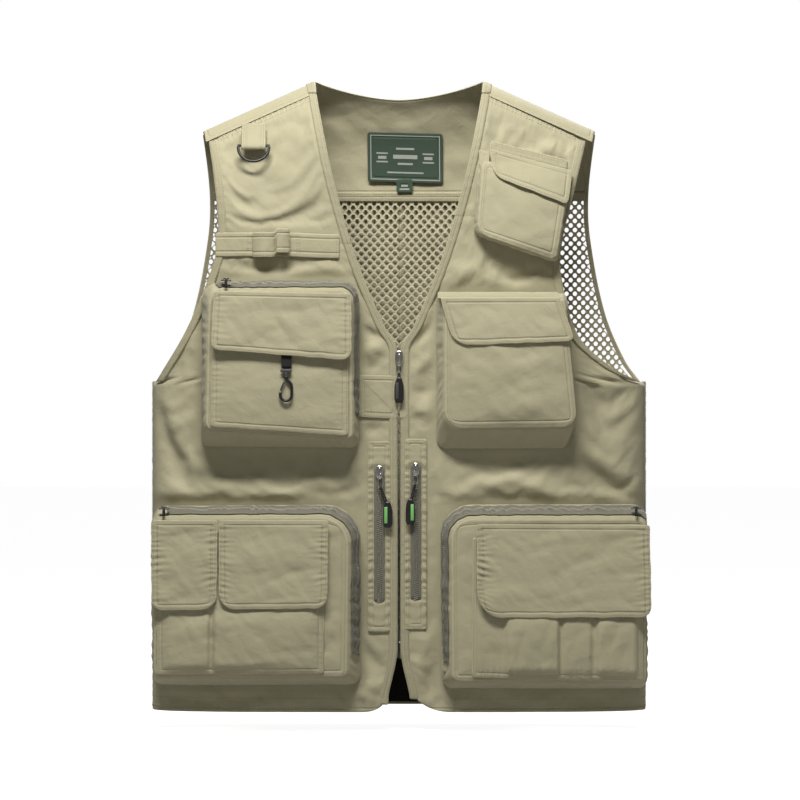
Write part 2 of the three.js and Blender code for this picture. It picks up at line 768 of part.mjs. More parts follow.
function buildLowerLeftPocket() {
  const group = front.left;
  const base = roundedOutline(rectangle(44, 263, -656, -457), [30, 8, 8, 8], WIDE);
  const face = roundedOutline(rectangle(56, 260, -645, -473), [22, 8, 6, 6], WIDE);
  add(group, "lower_left_bag", boxPocket(base, face, LOWER_DEPTH), "cloth");
  add(group, "lower_left_zip", zipBand(base, face, LOWER_DEPTH, -2, 9), "zip");
  smallSlider(group, "lower_left_slider", 252, -462, -HALF_DEPTH - LOWER_DEPTH + 4);

  const onFace = (x, z, d) => onPlane(x, z, LOWER_DEPTH + d);
  const flat = PATCH_DEPTH - 2;
  const tube = PATCH_DEPTH + 3;
  const columns = [
    [78, 0],
    [82, flat],
    [110, flat],
    [117, tube],
    [163, tube],
    [170, flat],
    [174, tube - 2],
    [200, tube - 2],
    [207, flat],
    [212, tube],
    [250, tube],
    [257, 0],
  ];
  add(group, "lower_left_pleats", patchPocket(columns, -640, -492, onFace), "cloth");

  const shape = roundedOutline(rectangle(82, 267, -577, -478), [2, 2, 10, 27]);
  flap(group, "lower_left_flap", shape, LOWER_DEPTH + PATCH_CLOTH + tube + 3 * GAP);
}

// ---- Small fittings ----
function buildClosureTab() {
  const skin = -HALF_DEPTH - BINDING_LIFT - GAP;
  const tab = box(-41, -PLACKET_EDGE - GAP, skin - TAPE, skin, -366, -320);
  add(front.right, "closure_tab", tab, "cloth");
}

function buildRingTab() {
  const group = bodyIn(chest.right);
  const width = 26;
  const outline = new THREE.Shape();
  outline.moveTo(0, 24);
  outline.lineTo(TAPE * 2, 24);
  outline.lineTo(TAPE * 2, 4);
  outline.absarc(3.6, 0, 3.6, Math.PI * 0.5, -Math.PI * 0.5, true);
  outline.lineTo(0, -3.6);
  const eye = new THREE.Path();
  eye.absarc(3.6, 0, 2.3, 0, 2 * Math.PI, false);
  outline.holes.push(eye);
  const folded = new THREE.ExtrudeGeometry(outline, {
    depth: width,
    bevelEnabled: false,
    curveSegments: 8,
  });
  folded.rotateX(Math.PI / 2).rotateZ(-Math.PI / 2).translate(width / 2, 0, 0);
  add(group, "d_ring_tab", folded, "cloth");

  const halfBar = 16.5;
  const bend = steps(12).map((t) => {
    const turn = Math.PI * t;
    return new THREE.Vector3(halfBar * Math.cos(turn), -3.6, -2 - 14 * Math.sin(turn));
  });
  const straight = [-halfBar + 1, 0, halfBar - 1].map((x) => new THREE.Vector3(x, -3.6, 0));
  add(bodyIn(group), "d_ring", bar([...bend, ...straight], 1.5, 8, true), "plastic");

  const x = -156;
  const z = -74;
  const lean = Math.atan2(depthAt(x, z - 8) - depthAt(x, z + 8), 16);
  group.position.copy(onFront(x, z, GAP + 3));
  group.rotation.x = -lean;
}

function buildRodStrap() {
  const zs = [-193, -166];
  const layer = (path, thickness) =>
    shell(
      zs.map((z) => path.map(([x, lift]) => onFront(x, z, lift))),
      thickness,
      -1,
    );
  const sewn = steps(8).map((t) => [lerp(-193, -65, t), GAP + TAPE]);
  add(chest.right, "rod_strap_base", layer(sewn, TAPE), "cloth");
  // The free strap arches over the rod and folds back on itself into a grip.
  const arch = steps(6).map((t) => [lerp(-157, -119, t), 3.8 + 6 * Math.sin(Math.PI * t)]);
  const grip = [
    [-116, 5.6],
    [-117, 9.2],
    [-123, 11.8],
    [-131, 13.4],
  ];
  const strap = layer([...arch, ...grip], TAPE * 0.8);
  add(bodyIn(chest.right), "rod_strap", strap, "cloth");
}

buildBackYoke();
buildBackNeckBinding();
buildBackPanel("back_mesh", BACK_YOKE_SEAM - GAP, HEM_BAND_TOP, 13, "net");
buildBackPanel("back_hem_band", HEM_BAND_TOP - GAP, HEM, 1, "cloth");
buildHemFacing();
buildBackPocket();
buildNeckLabel();
for (const side of ["right", "left"]) {
  buildShoulderYoke(side);
  buildBackArmholeBinding(side);
  buildChestPanel(side);
  buildFrontPanel(side);
  buildFrontEdges(side);
  buildMainChain(side);
  buildHandPocket(side);
}
buildMainSlider();
buildChestPocket();
buildSnapHook();
buildLowerRightPocket();
buildSmallPocket();
buildMidPocket();
buildLowerLeftPocket();
buildClosureTab();
buildRingTab();
buildRodStrap();

export default vest;
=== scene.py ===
"""A sleeveless fishing vest in khaki cloth: fronts with zipped box pockets, net back, yokes,
bindings, topstitching, zips, pulls, a D-ring, a rod strap and a snap hook."""
import math

import bmesh
import bpy
import numpy as np
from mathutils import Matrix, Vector


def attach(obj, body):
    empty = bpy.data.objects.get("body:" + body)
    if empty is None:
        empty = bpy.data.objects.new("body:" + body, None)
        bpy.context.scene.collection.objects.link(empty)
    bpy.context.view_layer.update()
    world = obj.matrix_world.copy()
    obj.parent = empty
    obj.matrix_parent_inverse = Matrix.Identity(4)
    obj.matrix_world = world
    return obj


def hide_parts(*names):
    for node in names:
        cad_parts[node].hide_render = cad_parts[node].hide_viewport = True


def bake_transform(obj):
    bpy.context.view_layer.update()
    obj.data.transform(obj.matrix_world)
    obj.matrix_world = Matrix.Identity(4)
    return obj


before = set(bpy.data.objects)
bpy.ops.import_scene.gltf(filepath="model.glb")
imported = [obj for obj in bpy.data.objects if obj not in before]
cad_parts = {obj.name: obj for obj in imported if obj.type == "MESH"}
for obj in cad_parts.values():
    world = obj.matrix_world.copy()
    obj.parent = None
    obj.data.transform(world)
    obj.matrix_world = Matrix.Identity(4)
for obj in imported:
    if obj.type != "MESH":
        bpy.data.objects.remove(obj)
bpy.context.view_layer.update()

MM = 0.001

# ---------------------------------------------------------------- body surface, in millimetres
HALF_WIDTH, HALF_DEPTH, SQUARENESS, SHOULDER_ROUND = 267.0, 58.0, 3.5, 110.0
NECK_HALF, SHOULDER_SLOPE, YOKE_DROP = 91.0, 0.446, 15.0
UNDERARM, HEM, BACK_SEAM = -327.0, -680.0, -122.0
SPLIT = {"right": -180.0, "left": -150.0}
SIGN = {"right": -1.0, "left": 1.0}


def curve_through(points):
    """x as a smooth function of z through (x, z) points, from the top down."""
    x = np.array([p[0] for p in points], float)
    z = np.array([p[1] for p in points], float)
    n = len(x)
    ahead, behind = np.minimum(np.arange(n) + 1, n - 1), np.maximum(np.arange(n) - 1, 0)
    slope = (x[ahead] - x[behind]) / (z[ahead] - z[behind])

    def at(q):
        q = np.clip(np.asarray(q, float), z[-1], z[0])
        i = np.clip(np.searchsorted(-z, -q, side="right") - 1, 0, n - 2)
        h = z[i + 1] - z[i]
        t = (q - z[i]) / h
        start = (1 + 2 * t) * (1 - t) ** 2 * x[i] + t * (1 - t) ** 2 * h * slope[i]
        return start + t * t * (3 - 2 * t) * x[i + 1] + t * t * (t - 1) * h * slope[i + 1]

    return at


PLACKET_GAP = 1.2
neck_line = curve_through(
    [(91, 0), (85, -35), (69.5, -110), (44.5, -196), (15, -267)]
    + [(PLACKET_GAP, -292), (PLACKET_GAP, -450), (PLACKET_GAP, -612), (11, -662)]
)
back_armhole = curve_through([(214, -56), (208, -121), (210, -168), (226, -250), (248, -303), (265, -327)])
front_armhole = {
    "right": curve_through([(208, -52), (199, -106), (194, -168), (201, -205), (229, -271), (263, -327)]),
    "left": curve_through(
        [(205, -52), (189, -117), (175, -175), (173, -208), (193, -278), (231, -312), (263, -327)]
    ),
}


def neck_edge(z):
    return np.maximum(PLACKET_GAP, neck_line(z))


def back_neck(x):
    return -17.6 * (1 - np.minimum(1, np.abs(x) / NECK_HALF) ** 1.7)


def ridge(x):
    return -np.maximum(0, np.abs(x) - NECK_HALF) * SHOULDER_SLOPE


def depth_at(x, z):
    """How far the body surface stands from the middle plane."""
    x, z = np.broadcast_arrays(np.asarray(x, float), np.asarray(z, float))
    girth = (1 - np.minimum(1, np.abs(x) / HALF_WIDTH) ** SQUARENESS) ** (1 / SQUARENESS)
    h = np.clip((ridge(x) - z) / SHOULDER_ROUND, 0, 1)
    return np.maximum(0.4, HALF_DEPTH * girth * np.sqrt(1 - (1 - h) ** 2))


def on_front(x, z, lift=0.0):
    x, z, lift = np.broadcast_arrays(np.asarray(x, float), np.asarray(z, float), np.asarray(lift, float))
    return np.stack([x, -depth_at(x, z) - lift, z], -1)


def on_back(x, z, lift=0.0):
    p = on_front(x, z, lift)
    p[..., 1] *= -1
    return p


# ---------------------------------------------------------------- numbers that wrinkle cloth
def smooth(t):
    t = np.clip(t, 0, 1)
    return t * t * (3 - 2 * t)


def noise(x, y, seed=0):
    """Smooth gradient noise, about -0.7 to 0.7, the same on every run."""
    x, y = np.broadcast_arrays(np.asarray(x, float), np.asarray(y, float))
    xi, yi = np.floor(x).astype(np.int64), np.floor(y).astype(np.int64)
    xf, yf = x - xi, y - yi

    def corner(dx, dy):
        h = ((xi + dx) * 374761393 + (yi + dy) * 668265263 + seed * 1442695041) & 0xFFFFFFFF
        h = ((h ^ (h >> 13)) * 1274126177) & 0xFFFFFFFF
        a = ((h ^ (h >> 16)) & 0xFFFF) / 65536 * 2 * np.pi
        return np.cos(a) * (xf - dx) + np.sin(a) * (yf - dy)

    u, v = smooth(xf), smooth(yf)
    low = corner(0, 0) * (1 - u) + corner(1, 0) * u
    return low * (1 - v) + (corner(0, 1) * (1 - u) + corner(1, 1) * u) * v


def folds(x, z, angle, length, width, seed):
    """Long soft folds that run at an angle in degrees, with sharper creases between them."""
    c, s = math.cos(math.radians(angle)), math.sin(math.radians(angle))
    a, b = (x * c + z * s) / length, (-x * s + z * c) / width
    bend = noise(a * 1.3 + 7, b * 0.5 + 3, seed + 5)
    soft = noise(a, b + 0.9 * bend, seed)
    fine = noise(2.1 * a + 4, 2.1 * b + 1.3 * bend, seed + 1)
    return soft + 0.4 * fine + 0.5 * (0.25 - np.abs(fine))


def crease(x, z, line, amp, width):
    """A fold along a line of (x, z) points: amp out of the cloth at its middle, fading at its ends."""
    best = np.zeros(np.broadcast(x, z).shape)
    total = len(line) - 1
    for i in range(total):
        (x0, z0), (x1, z1) = line[i], line[i + 1]
        dx, dz = x1 - x0, z1 - z0
        size = dx * dx + dz * dz
        t = np.clip(((x - x0) * dx + (z - z0) * dz) / size, 0, 1)
        d2 = (x - x0 - t * dx) ** 2 + (z - z0 - t * dz) ** 2
        along = (i + t) / total
        best = np.maximum(best, np.exp(-d2 / width**2) * np.sin(np.pi * (0.08 + 0.84 * along)))
    return amp * best


def pucker(distance, along, period=7.5, reach=9.0, seed=1):
    """Small gathers across a seam, strongest on the seam."""
    phase = along / period + 1.2 * noise(along / 23.0, distance / 30.0, seed)
    size = 0.65 + 0.7 * noise(along / 31.0, 0.5, seed + 9)
    return size * np.sin(2 * np.pi * phase) * np.exp(-np.abs(distance) / reach)


# ---------------------------------------------------------------- meshes
UV_PER_M = 100
FAR_FROM_EDGE = 50.0


def new_object(name, verts, faces, material, uvs=None, edge=None):
    """A mesh from millimetres, with its cloth UVs and each point's distance from the nearest edge."""
    mesh = bpy.data.meshes.new(name)
    verts = np.asarray(verts, float).reshape(-1, 3) * MM
    mesh.from_pydata(verts.tolist(), [], [tuple(int(i) for i in f) for f in faces])
    mesh.materials.append(material)
    mesh.polygons.foreach_set("use_smooth", [True] * len(mesh.polygons))
    if uvs is None:
        uvs = verts[:, [0, 2]] / MM
    loops = np.zeros(len(mesh.loops), np.int64)
    mesh.loops.foreach_get("vertex_index", loops)
    layer = mesh.uv_layers.new(name="cloth")
    layer.data.foreach_set("uv", (np.asarray(uvs, float).reshape(-1, 2)[loops] * MM * UV_PER_M).ravel())
    layer = mesh.attributes.new("edge", "FLOAT", "POINT")
    edge = np.full(len(verts), FAR_FROM_EDGE) if edge is None else np.ravel(edge).astype(float)
    layer.data.foreach_set("value", edge)
    mesh.update()
    obj = bpy.data.objects.new(name, mesh)
    bpy.context.scene.collection.objects.link(obj)
    return obj


def grid_faces(rows, cols, flip=False):
    i, j = np.meshgrid(np.arange(rows - 1), np.arange(cols - 1), indexing="ij")
    a = (i * cols + j).ravel()
    f = np.stack([a, a + cols, a + cols + 1, a + 1], 1)
    return f[:, ::-1] if flip else f


def lengths(P):
    """How far each grid point lies along its row and its column, in millimetres."""
    along = np.zeros(P.shape[:2])
    down = np.zeros(P.shape[:2])
    along[:, 1:] = np.cumsum(np.linalg.norm(np.diff(P, axis=1), axis=2), 1)
    down[1:] = np.cumsum(np.linalg.norm(np.diff(P, axis=0), axis=2), 0)
    return along, down


def normals(P, outward):
    down, along = np.gradient(P, axis=0), np.gradient(P, axis=1)
    n = np.cross(down, along)
    n /= np.maximum(np.linalg.norm(n, axis=2, keepdims=True), 1e-9)
    if (n @ np.array(outward, float)).mean() < 0:
        n = -n
    return n


def finish_cloth(obj, thickness, subdiv=1):
    """Gives a sheet its thickness, inward from its drawn side, and smooths it."""
    mod = obj.modifiers.new("thickness", "SOLIDIFY")
    mod.thickness = thickness * MM
    mod.offset = -1
    mod.use_even_offset = False
    if subdiv:
        mod = obj.modifiers.new("smooth", "SUBSURF")
        mod.levels = mod.render_levels = subdiv


def face_area(obj):
    areas = np.zeros(len(obj.data.polygons))
    obj.data.polygons.foreach_get("area", areas)
    return float(areas.sum())


def cloth_grid(
    name, P, material, outward=(0, -1, 0), thickness=0.9, subdiv=1, edge=None, uv_turn=False
):
    """A sheet over a grid of points; uv_turn lays the weave along the grid's rows."""
    rows, cols = P.shape[:2]
    plain = np.cross(np.gradient(P, axis=0), np.gradient(P, axis=1))
    flip = (plain @ np.array(outward, float)).mean() < 0
    along, down = lengths(P)
    uv = np.stack([down, along] if uv_turn else [along, down], -1)
    obj = new_object(name, P, grid_faces(rows, cols, flip), material, uv, edge)
    finish_cloth(obj, thickness, subdiv)
    return obj


def patch_uv(width, height, cell=4.0):
    us = np.linspace(0, 1, max(4, round(width / cell)) + 1)
    vs = np.linspace(0, 1, max(4, round(height / cell)) + 1)
    return us, vs


def patch_points(corners, radii, us, vs):
    """A grid of (x, z) over a four-sided outline, top left corner first, with rounded corners."""
    tl, tr, br, bl = (np.array(c, float) for c in corners)
    w = (np.linalg.norm(tr - tl) + np.linalg.norm(br - bl)) / 2
    h = (np.linalg.norm(bl - tl) + np.linalg.norm(br - tr)) / 2
    U, V = np.meshgrid(us, vs)
    X, Z = (U - 0.5) * w, (V - 0.5) * h
    for sx, sz, r in zip((-1, 1, 1, -1), (-1, -1, 1, 1), radii):
        if r <= 0:
            continue
        a, b = (sx * X - (w / 2 - r)) / r, (sz * Z - (h / 2 - r)) / r
        inside = (a > 1e-9) & (b > 1e-9)
        near_a = np.clip(a, 0, 1)
        near_b = np.clip(b, 0, 1)
        X = np.where(inside, sx * (w / 2 - r + r * near_a * np.sqrt(1 - near_b**2 / 2)), X)
        Z = np.where(inside, sz * (h / 2 - r + r * near_b * np.sqrt(1 - near_a**2 / 2)), Z)
    U, V = (X / w + 0.5)[..., None], (Z / h + 0.5)[..., None]
    return (tl * (1 - U) + tr * U) * (1 - V) + (bl * (1 - U) + br * U) * V


def edge_distance(us, vs, width, height, sides="tblr"):
    """How far each grid point lies from the nearest of the named sides."""
    U, V = np.meshgrid(us, vs)
    d = np.full(U.shape, 60.0)
    for key, value in zip("lrtb", (U * width, (1 - U) * width, V * height, (1 - V) * height)):
        if key in sides:
            d = np.minimum(d, value)
    return d


def perimeter(grid):
    """The grid's border, clockwise from its top left."""
    return np.concatenate([grid[0, :-1], grid[:-1, -1], grid[-1, :0:-1], grid[:0:-1, 0]])


class Parts:
    """Verts and faces gathered into one mesh."""

    def __init__(self):
        self.verts, self.faces, self.count = [], [], 0

    def add(self, verts, faces):
        verts = np.asarray(verts, float).reshape(-1, 3)
        self.verts.append(verts)
        self.faces.extend(tuple(int(i) + self.count for i in f) for f in faces)
        self.count += len(verts)

    def make(self, name, material, uvs=None):
        return new_object(name, np.concatenate(self.verts), self.faces, material, uvs)


def loft(rings, closed=False):
    """Verts and faces of a skin through equal rings, capped at both ends unless it is closed."""
    count, sides = len(rings), len(rings[0])
    faces = []
    for i in range(count if closed else count - 1):
        k = (i + 1) % count
        for j in range(sides):
            m = (j + 1) % sides
            faces.append((i * sides + j, i * sides + m, k * sides + m, k * sides + j))
    if not closed:
        faces.append(tuple(range(sides))[::-1])
        faces.append(tuple(range((count - 1) * sides, count * sides)))
    return np.array(rings, float).reshape(-1, 3), faces


def tube(path, radius, sides=12, closed=False):
    """Verts and faces of a round bar along a path; radius may differ from point to point."""
    path = np.asarray(path, float)
    n = len(path)
    radii = np.broadcast_to(np.asarray(radius, float), (n,))
    tangent = np.roll(path, -1, 0) - np.roll(path, 1, 0) if closed else np.gradient(path, axis=0)
    tangent /= np.linalg.norm(tangent, axis=1, keepdims=True)
    side = np.cross(tangent[0], [0.0, 1.0, 0.0])
    if np.linalg.norm(side) < 0.1:
        side = np.cross(tangent[0], [1.0, 0.0, 0.0])
    rings = []
    for i in range(n):
        side = side - tangent[i] * (side @ tangent[i])
        side /= np.linalg.norm(side)
        up = np.cross(tangent[i], side)
        turn = np.linspace(0, 2 * np.pi, sides, endpoint=False)
        rings.append(path[i] + radii[i] * (np.outer(np.cos(turn), side) + np.outer(np.sin(turn), up)))
    return loft(rings, closed)


def rounded_box(lo, hi, radius, segments=2):
    bm = bmesh.new()
    bmesh.ops.create_cube(bm, size=1)
    lo, hi = np.array(lo, float), np.array(hi, float)
    for v in bm.verts:
        v.co = Vector(lo + (np.array(v.co) + 0.5) * (hi - lo))
    bmesh.ops.bevel(
        bm, geom=bm.edges[:], offset=radius, segments=segments, profile=0.5, affect="EDGES",
        clamp_overlap=True,
    )
    verts = np.array([v.co for v in bm.verts])
    faces = [tuple(v.index for v in f.verts) for f in bm.faces]
    bm.free()
    return verts, faces


def spline(points, count):
    """A smooth path through a few points."""
    points = np.asarray(points, float)
    n = len(points)
    slope = np.gradient(points, axis=0)
    q = np.linspace(0, n - 1, count)
    i = np.minimum(q.astype(int), n - 2)
    t = (q - i)[:, None]
    a, b = points[i], points[i + 1]
    return (
        (1 + 2 * t) * (1 - t) ** 2 * a
        + t * (1 - t) ** 2 * slope[i]
        + t * t * (3 - 2 * t) * b
        + t * t * (t - 1) * slope[i + 1]
    )


# ---------------------------------------------------------------- materials
def nodes_of(name):
    material = bpy.data.materials.new(name)
    material.use_nodes = True
    tree = material.node_tree
    return material, tree, tree.nodes["Principled BSDF"]


def add_node(tree, kind, **values):
    node = tree.nodes.new(kind)
    for key, value in values.items():
        if key in node.inputs:
            node.inputs[key].default_value = value
        else:
            setattr(node, key, value)
    return node


def math_node(tree, operation, a, b=None, c=None):
    node = tree.nodes.new("ShaderNodeMath")
    node.operation = operation
    for socket, value in zip(node.inputs, (a, b, c)):
        if value is None:
            continue
        if isinstance(value, (int, float)):
            socket.default_value = value
        else:
            tree.links.new(value, socket)
    return node.outputs[0]


MOTTLING = 0.08


def cloth_material(name, color, weave=5.2, bump=0.35, rough=0.82, sheen=0.12, crinkle=0.38):
    """Woven cloth. The weave's scale is in threads per UV unit of 10 mm; colour varies slowly over it."""
    material, tree, shader = nodes_of(name)
    link = tree.links.new
    shader.inputs["Roughness"].default_value = rough
    shader.inputs["Sheen Weight"].default_value = sheen
    shader.inputs["Sheen Roughness"].default_value = 0.45
    shader.inputs["Specular IOR Level"].default_value = 0.28
    uv = add_node(tree, "ShaderNodeUVMap", uv_map="cloth")
    edge = add_node(tree, "ShaderNodeAttribute", attribute_name="edge")

    cloudy = add_node(tree, "ShaderNodeTexNoise", Scale=0.32, Detail=4.0, Roughness=0.6)
    speckle = add_node(tree, "ShaderNodeTexNoise", Scale=22.0, Detail=2.0, Roughness=0.7)
    link(uv.outputs["UV"], cloudy.inputs["Vector"])
    link(uv.outputs["UV"], speckle.inputs["Vector"])
    shift = math_node(tree, "MULTIPLY_ADD", cloudy.outputs["Fac"], 2 * MOTTLING, 1 - MOTTLING)
    grain = math_node(tree, "MULTIPLY_ADD", speckle.outputs["Fac"], 0.10, 0.95)
    tone = math_node(tree, "MULTIPLY", shift, grain)
    # A lighter fold along an edge, part rubbed wear and part painted highlight, and a pressed line where it
    # is sewn.
    worn_and_highlit = add_node(tree, "ShaderNodeMapRange", interpolation_type="SMOOTHSTEP")
    for key, value in (("From Min", 0.0), ("From Max", 2.2), ("To Min", 1.10), ("To Max", 1.0)):
        worn_and_highlit.inputs[key].default_value = value
    link(edge.outputs["Fac"], worn_and_highlit.inputs["Value"])
    tone = math_node(tree, "MULTIPLY", tone, worn_and_highlit.outputs["Result"])
    scaled = add_node(tree, "ShaderNodeVectorMath", operation="SCALE")
    scaled.inputs[0].default_value = color
    link(tone, scaled.inputs["Scale"])
    link(scaled.outputs["Vector"], shader.inputs["Base Color"])

    waves = []
    for direction in ("X", "Y"):
        wave = add_node(
            tree, "ShaderNodeTexWave", bands_direction=direction, Scale=weave, Distortion=0.35, Detail=1.0
        )
        link(uv.outputs["UV"], wave.inputs["Vector"])
        waves.append(wave.outputs["Fac"])
    threads = math_node(tree, "MULTIPLY", waves[0], waves[1])
    creases = add_node(tree, "ShaderNodeTexNoise", Scale=1.1, Detail=5.0, Roughness=0.62, Distortion=0.6)
    link(uv.outputs["UV"], creases.inputs["Vector"])
    sewn = math_node(tree, "SUBTRACT", edge.outputs["Fac"], 5.5)
    sewn = math_node(tree, "ABSOLUTE", sewn)
    groove = add_node(tree, "ShaderNodeMapRange", interpolation_type="SMOOTHSTEP")
    for key, value in (("From Min", 0.0), ("From Max", 1.6), ("To Min", 0.0), ("To Max", 1.0)):
        groove.inputs[key].default_value = value
    link(sewn, groove.inputs["Value"])
    fine = add_node(tree, "ShaderNodeBump", Strength=bump, Distance=0.00012)
    link(threads, fine.inputs["Height"])
    soft = add_node(tree, "ShaderNodeBump", Strength=crinkle, Distance=0.0016)
    link(creases.outputs["Fac"], soft.inputs["Height"])
    link(fine.outputs["Normal"], soft.inputs["Normal"])
    pressed = add_node(tree, "ShaderNodeBump", Strength=0.8, Distance=0.0006)
    link(groove.outputs["Result"], pressed.inputs["Height"])
    link(soft.outputs["Normal"], pressed.inputs["Normal"])
    link(pressed.outputs["Normal"], shader.inputs["Normal"])
    return material


def hard_material(name, color, rough, metallic=0.0, scratch=0.25):
    """Plastic or metal with fine marks that shift its tone and its gloss."""
    material, tree, shader = nodes_of(name)
    link = tree.links.new
    shader.inputs["Metallic"].default_value = metallic
    place = add_node(tree, "ShaderNodeTexCoord")
    marks = add_node(tree, "ShaderNodeTexNoise", Scale=900.0, Detail=3.0, Roughness=0.6)
    link(place.outputs["Object"], marks.inputs["Vector"])
    tone = math_node(tree, "MULTIPLY_ADD", marks.outputs["Fac"], 0.25, 0.87)
    scaled = add_node(tree, "ShaderNodeVectorMath", operation="SCALE")
    scaled.inputs[0].default_value = color
    link(tone, scaled.inputs["Scale"])
    link(scaled.outputs["Vector"], shader.inputs["Base Color"])
    gloss = math_node(tree, "MULTIPLY_ADD", marks.outputs["Fac"], 0.2, rough - 0.1)
    link(gloss, shader.inputs["Roughness"])
    bump = add_node(tree, "ShaderNodeBump", Strength=scratch, Distance=0.00008)
    link(marks.outputs["Fac"], bump.inputs["Height"])
    link(bump.outputs["Normal"], shader.inputs["Normal"])
    return material


KHAKI = (0.408, 0.376, 0.247)
cloth = cloth_material("khaki_cloth", KHAKI)
binding = cloth_material("khaki_binding", tuple(0.93 * c for c in KHAKI), crinkle=0.6)
thread = cloth_material("thread", tuple(0.60 * c for c in KHAKI), weave=40, bump=0.2, crinkle=0.1)
net = cloth_material("net_cords", (0.50, 0.465, 0.33), weave=14, bump=0.6, crinkle=0.2, rough=0.9)
# Near-black cloth: the facing inside the back hem and the hidden bags of the hand pockets.
near_black = cloth_material("dark_lining", (0.016, 0.014, 0.011), rough=0.9, sheen=0.1)
green = cloth_material("label_cloth", (0.050, 0.080, 0.054), weave=11, bump=0.8, rough=0.7, crinkle=0.15)
pale = cloth_material("label_thread", (0.36, 0.38, 0.33), weave=20, bump=0.4, crinkle=0.1)
tape = cloth_material("zip_tape", (0.185, 0.175, 0.130), weave=12, bump=0.9, crinkle=0.15)
coil = hard_material("zip_coil", (0.30, 0.29, 0.24), 0.36, scratch=0.1)
steel = hard_material("slider_metal", (0.78, 0.78, 0.76), 0.24, metallic=1.0)
gunmetal = hard_material("dark_metal", (0.10, 0.10, 0.095), 0.35, metallic=1.0)
black = hard_material("black_plastic", (0.016, 0.016, 0.015), 0.36)
grip_grey = hard_material("grey_rubber", (0.060, 0.060, 0.064), 0.5)
lime = hard_material("green_insert", (0.20, 0.52, 0.16), 0.35)
pull_cord = cloth_material("pull_cord", (0.020, 0.019, 0.017), weave=25, bump=0.8, crinkle=0.1)
BLEND_Z = {"yoke": (-24.0, -120.0), "chest": (-186.0, -262.0)}


def place(obj, where, replaces=()):
    """where is a body's name, or ("upper" | "lower", side) for cloth between two bodies, left unattached.
    """
    if isinstance(where, tuple):
        part, side = where
        z0, z1 = BLEND_Z["yoke" if part == "upper" else "chest"]
        if part == "upper":
            z1 = max(z1, SPLIT[side] + 8)
        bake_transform(obj)
    else:
        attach(obj, where)
    if replaces:
        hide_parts(*replaces)
    return obj


# ---------------------------------------------------------------- topstitching
stitches = {}


def sample(P, rows, cols):
    """Points of grid P at fractional row and column numbers."""
    r = np.clip(rows, 0, P.shape[0] - 1.0001)
    c = np.clip(cols, 0, P.shape[1] - 1.0001)
    i, j = r.astype(int), c.astype(int)
    a, b = (r - i)[:, None], (c - j)[:, None]
    above = P[i, j] * (1 - b) + P[i, j + 1] * b
    below = P[i + 1, j] * (1 - b) + P[i + 1, j + 1] * b
    return above * (1 - a) + below * a


STITCH_PITCH, STITCH_SHARE, STITCH_LIFT, STITCH_WIDTH = 3.4, 0.68, 0.24, 0.72


def sew(where, P, route, outward=(0, -1, 0)):
    """A run of stitches over grid P; route is a list of (u, v) shares of its width and height."""
    N = normals(P, outward)
    rows, cols = P.shape[0] - 1, P.shape[1] - 1
    route = np.asarray(route, float)
    dense = np.concatenate([np.linspace(a, b, 160) for a, b in zip(route[:-1], route[1:])])
    points = sample(P, dense[:, 1] * rows, dense[:, 0] * cols)
    facing = sample(N, dense[:, 1] * rows, dense[:, 0] * cols)
    run = np.r_[0, np.cumsum(np.linalg.norm(np.diff(points, axis=0), axis=1))]
    starts = np.arange(STITCH_PITCH / 2, run[-1] - STITCH_PITCH, STITCH_PITCH)
    if not len(starts):
        return

    def at(q, values):
        return np.stack([np.interp(q, run, values[:, k]) for k in range(3)], -1)

    a, b = at(starts, points), at(starts + STITCH_SHARE * STITCH_PITCH, points)
    n = at(starts + STITCH_SHARE * STITCH_PITCH / 2, facing)
    n /= np.linalg.norm(n, axis=1, keepdims=True)
    along = b - a
    along /= np.maximum(np.linalg.norm(along, axis=1, keepdims=True), 1e-9)
    across = np.cross(n, along) * STITCH_WIDTH / 2
    middle = (a + b) / 2 + n * STITCH_LIFT
    ends = [a - n * 0.05, middle + across, middle - across, middle + n * 0.22, b - n * 0.05]
    count = len(starts)
    verts = np.stack(ends, 1).reshape(-1, 3)
    base = (np.arange(count) * 5)[:, None]
    shape = np.array([[0, 3, 1], [0, 2, 3], [4, 1, 3], [4, 3, 2]])
    faces = (base[:, :, None] + shape[None]).reshape(-1, 3)
    stitches.setdefault(where, Parts()).add(verts, faces)


def inset_route(width, height, inset, sides="tblr"):
    """A stitching route inset from a patch's chosen edges, down its left and round its bottom."""
    u, v = inset / width, inset / height
    left, right = u if "l" in sides else 0.0, 1 - u if "r" in sides else 1.0
    top, bottom = v if "t" in sides else 0.0, 1 - v if "b" in sides else 1.0
    path = []
    if "l" in sides:
        path.append((left, top))
    path.append((left, bottom))
    path.append((right, bottom))
    if "r" in sides:
        path.append((right, top))
    if "t" in sides:
        path.append((left, top))
    return path


# ---------------------------------------------------------------- cloth simulation
SETTLE_LIMIT = 4.0


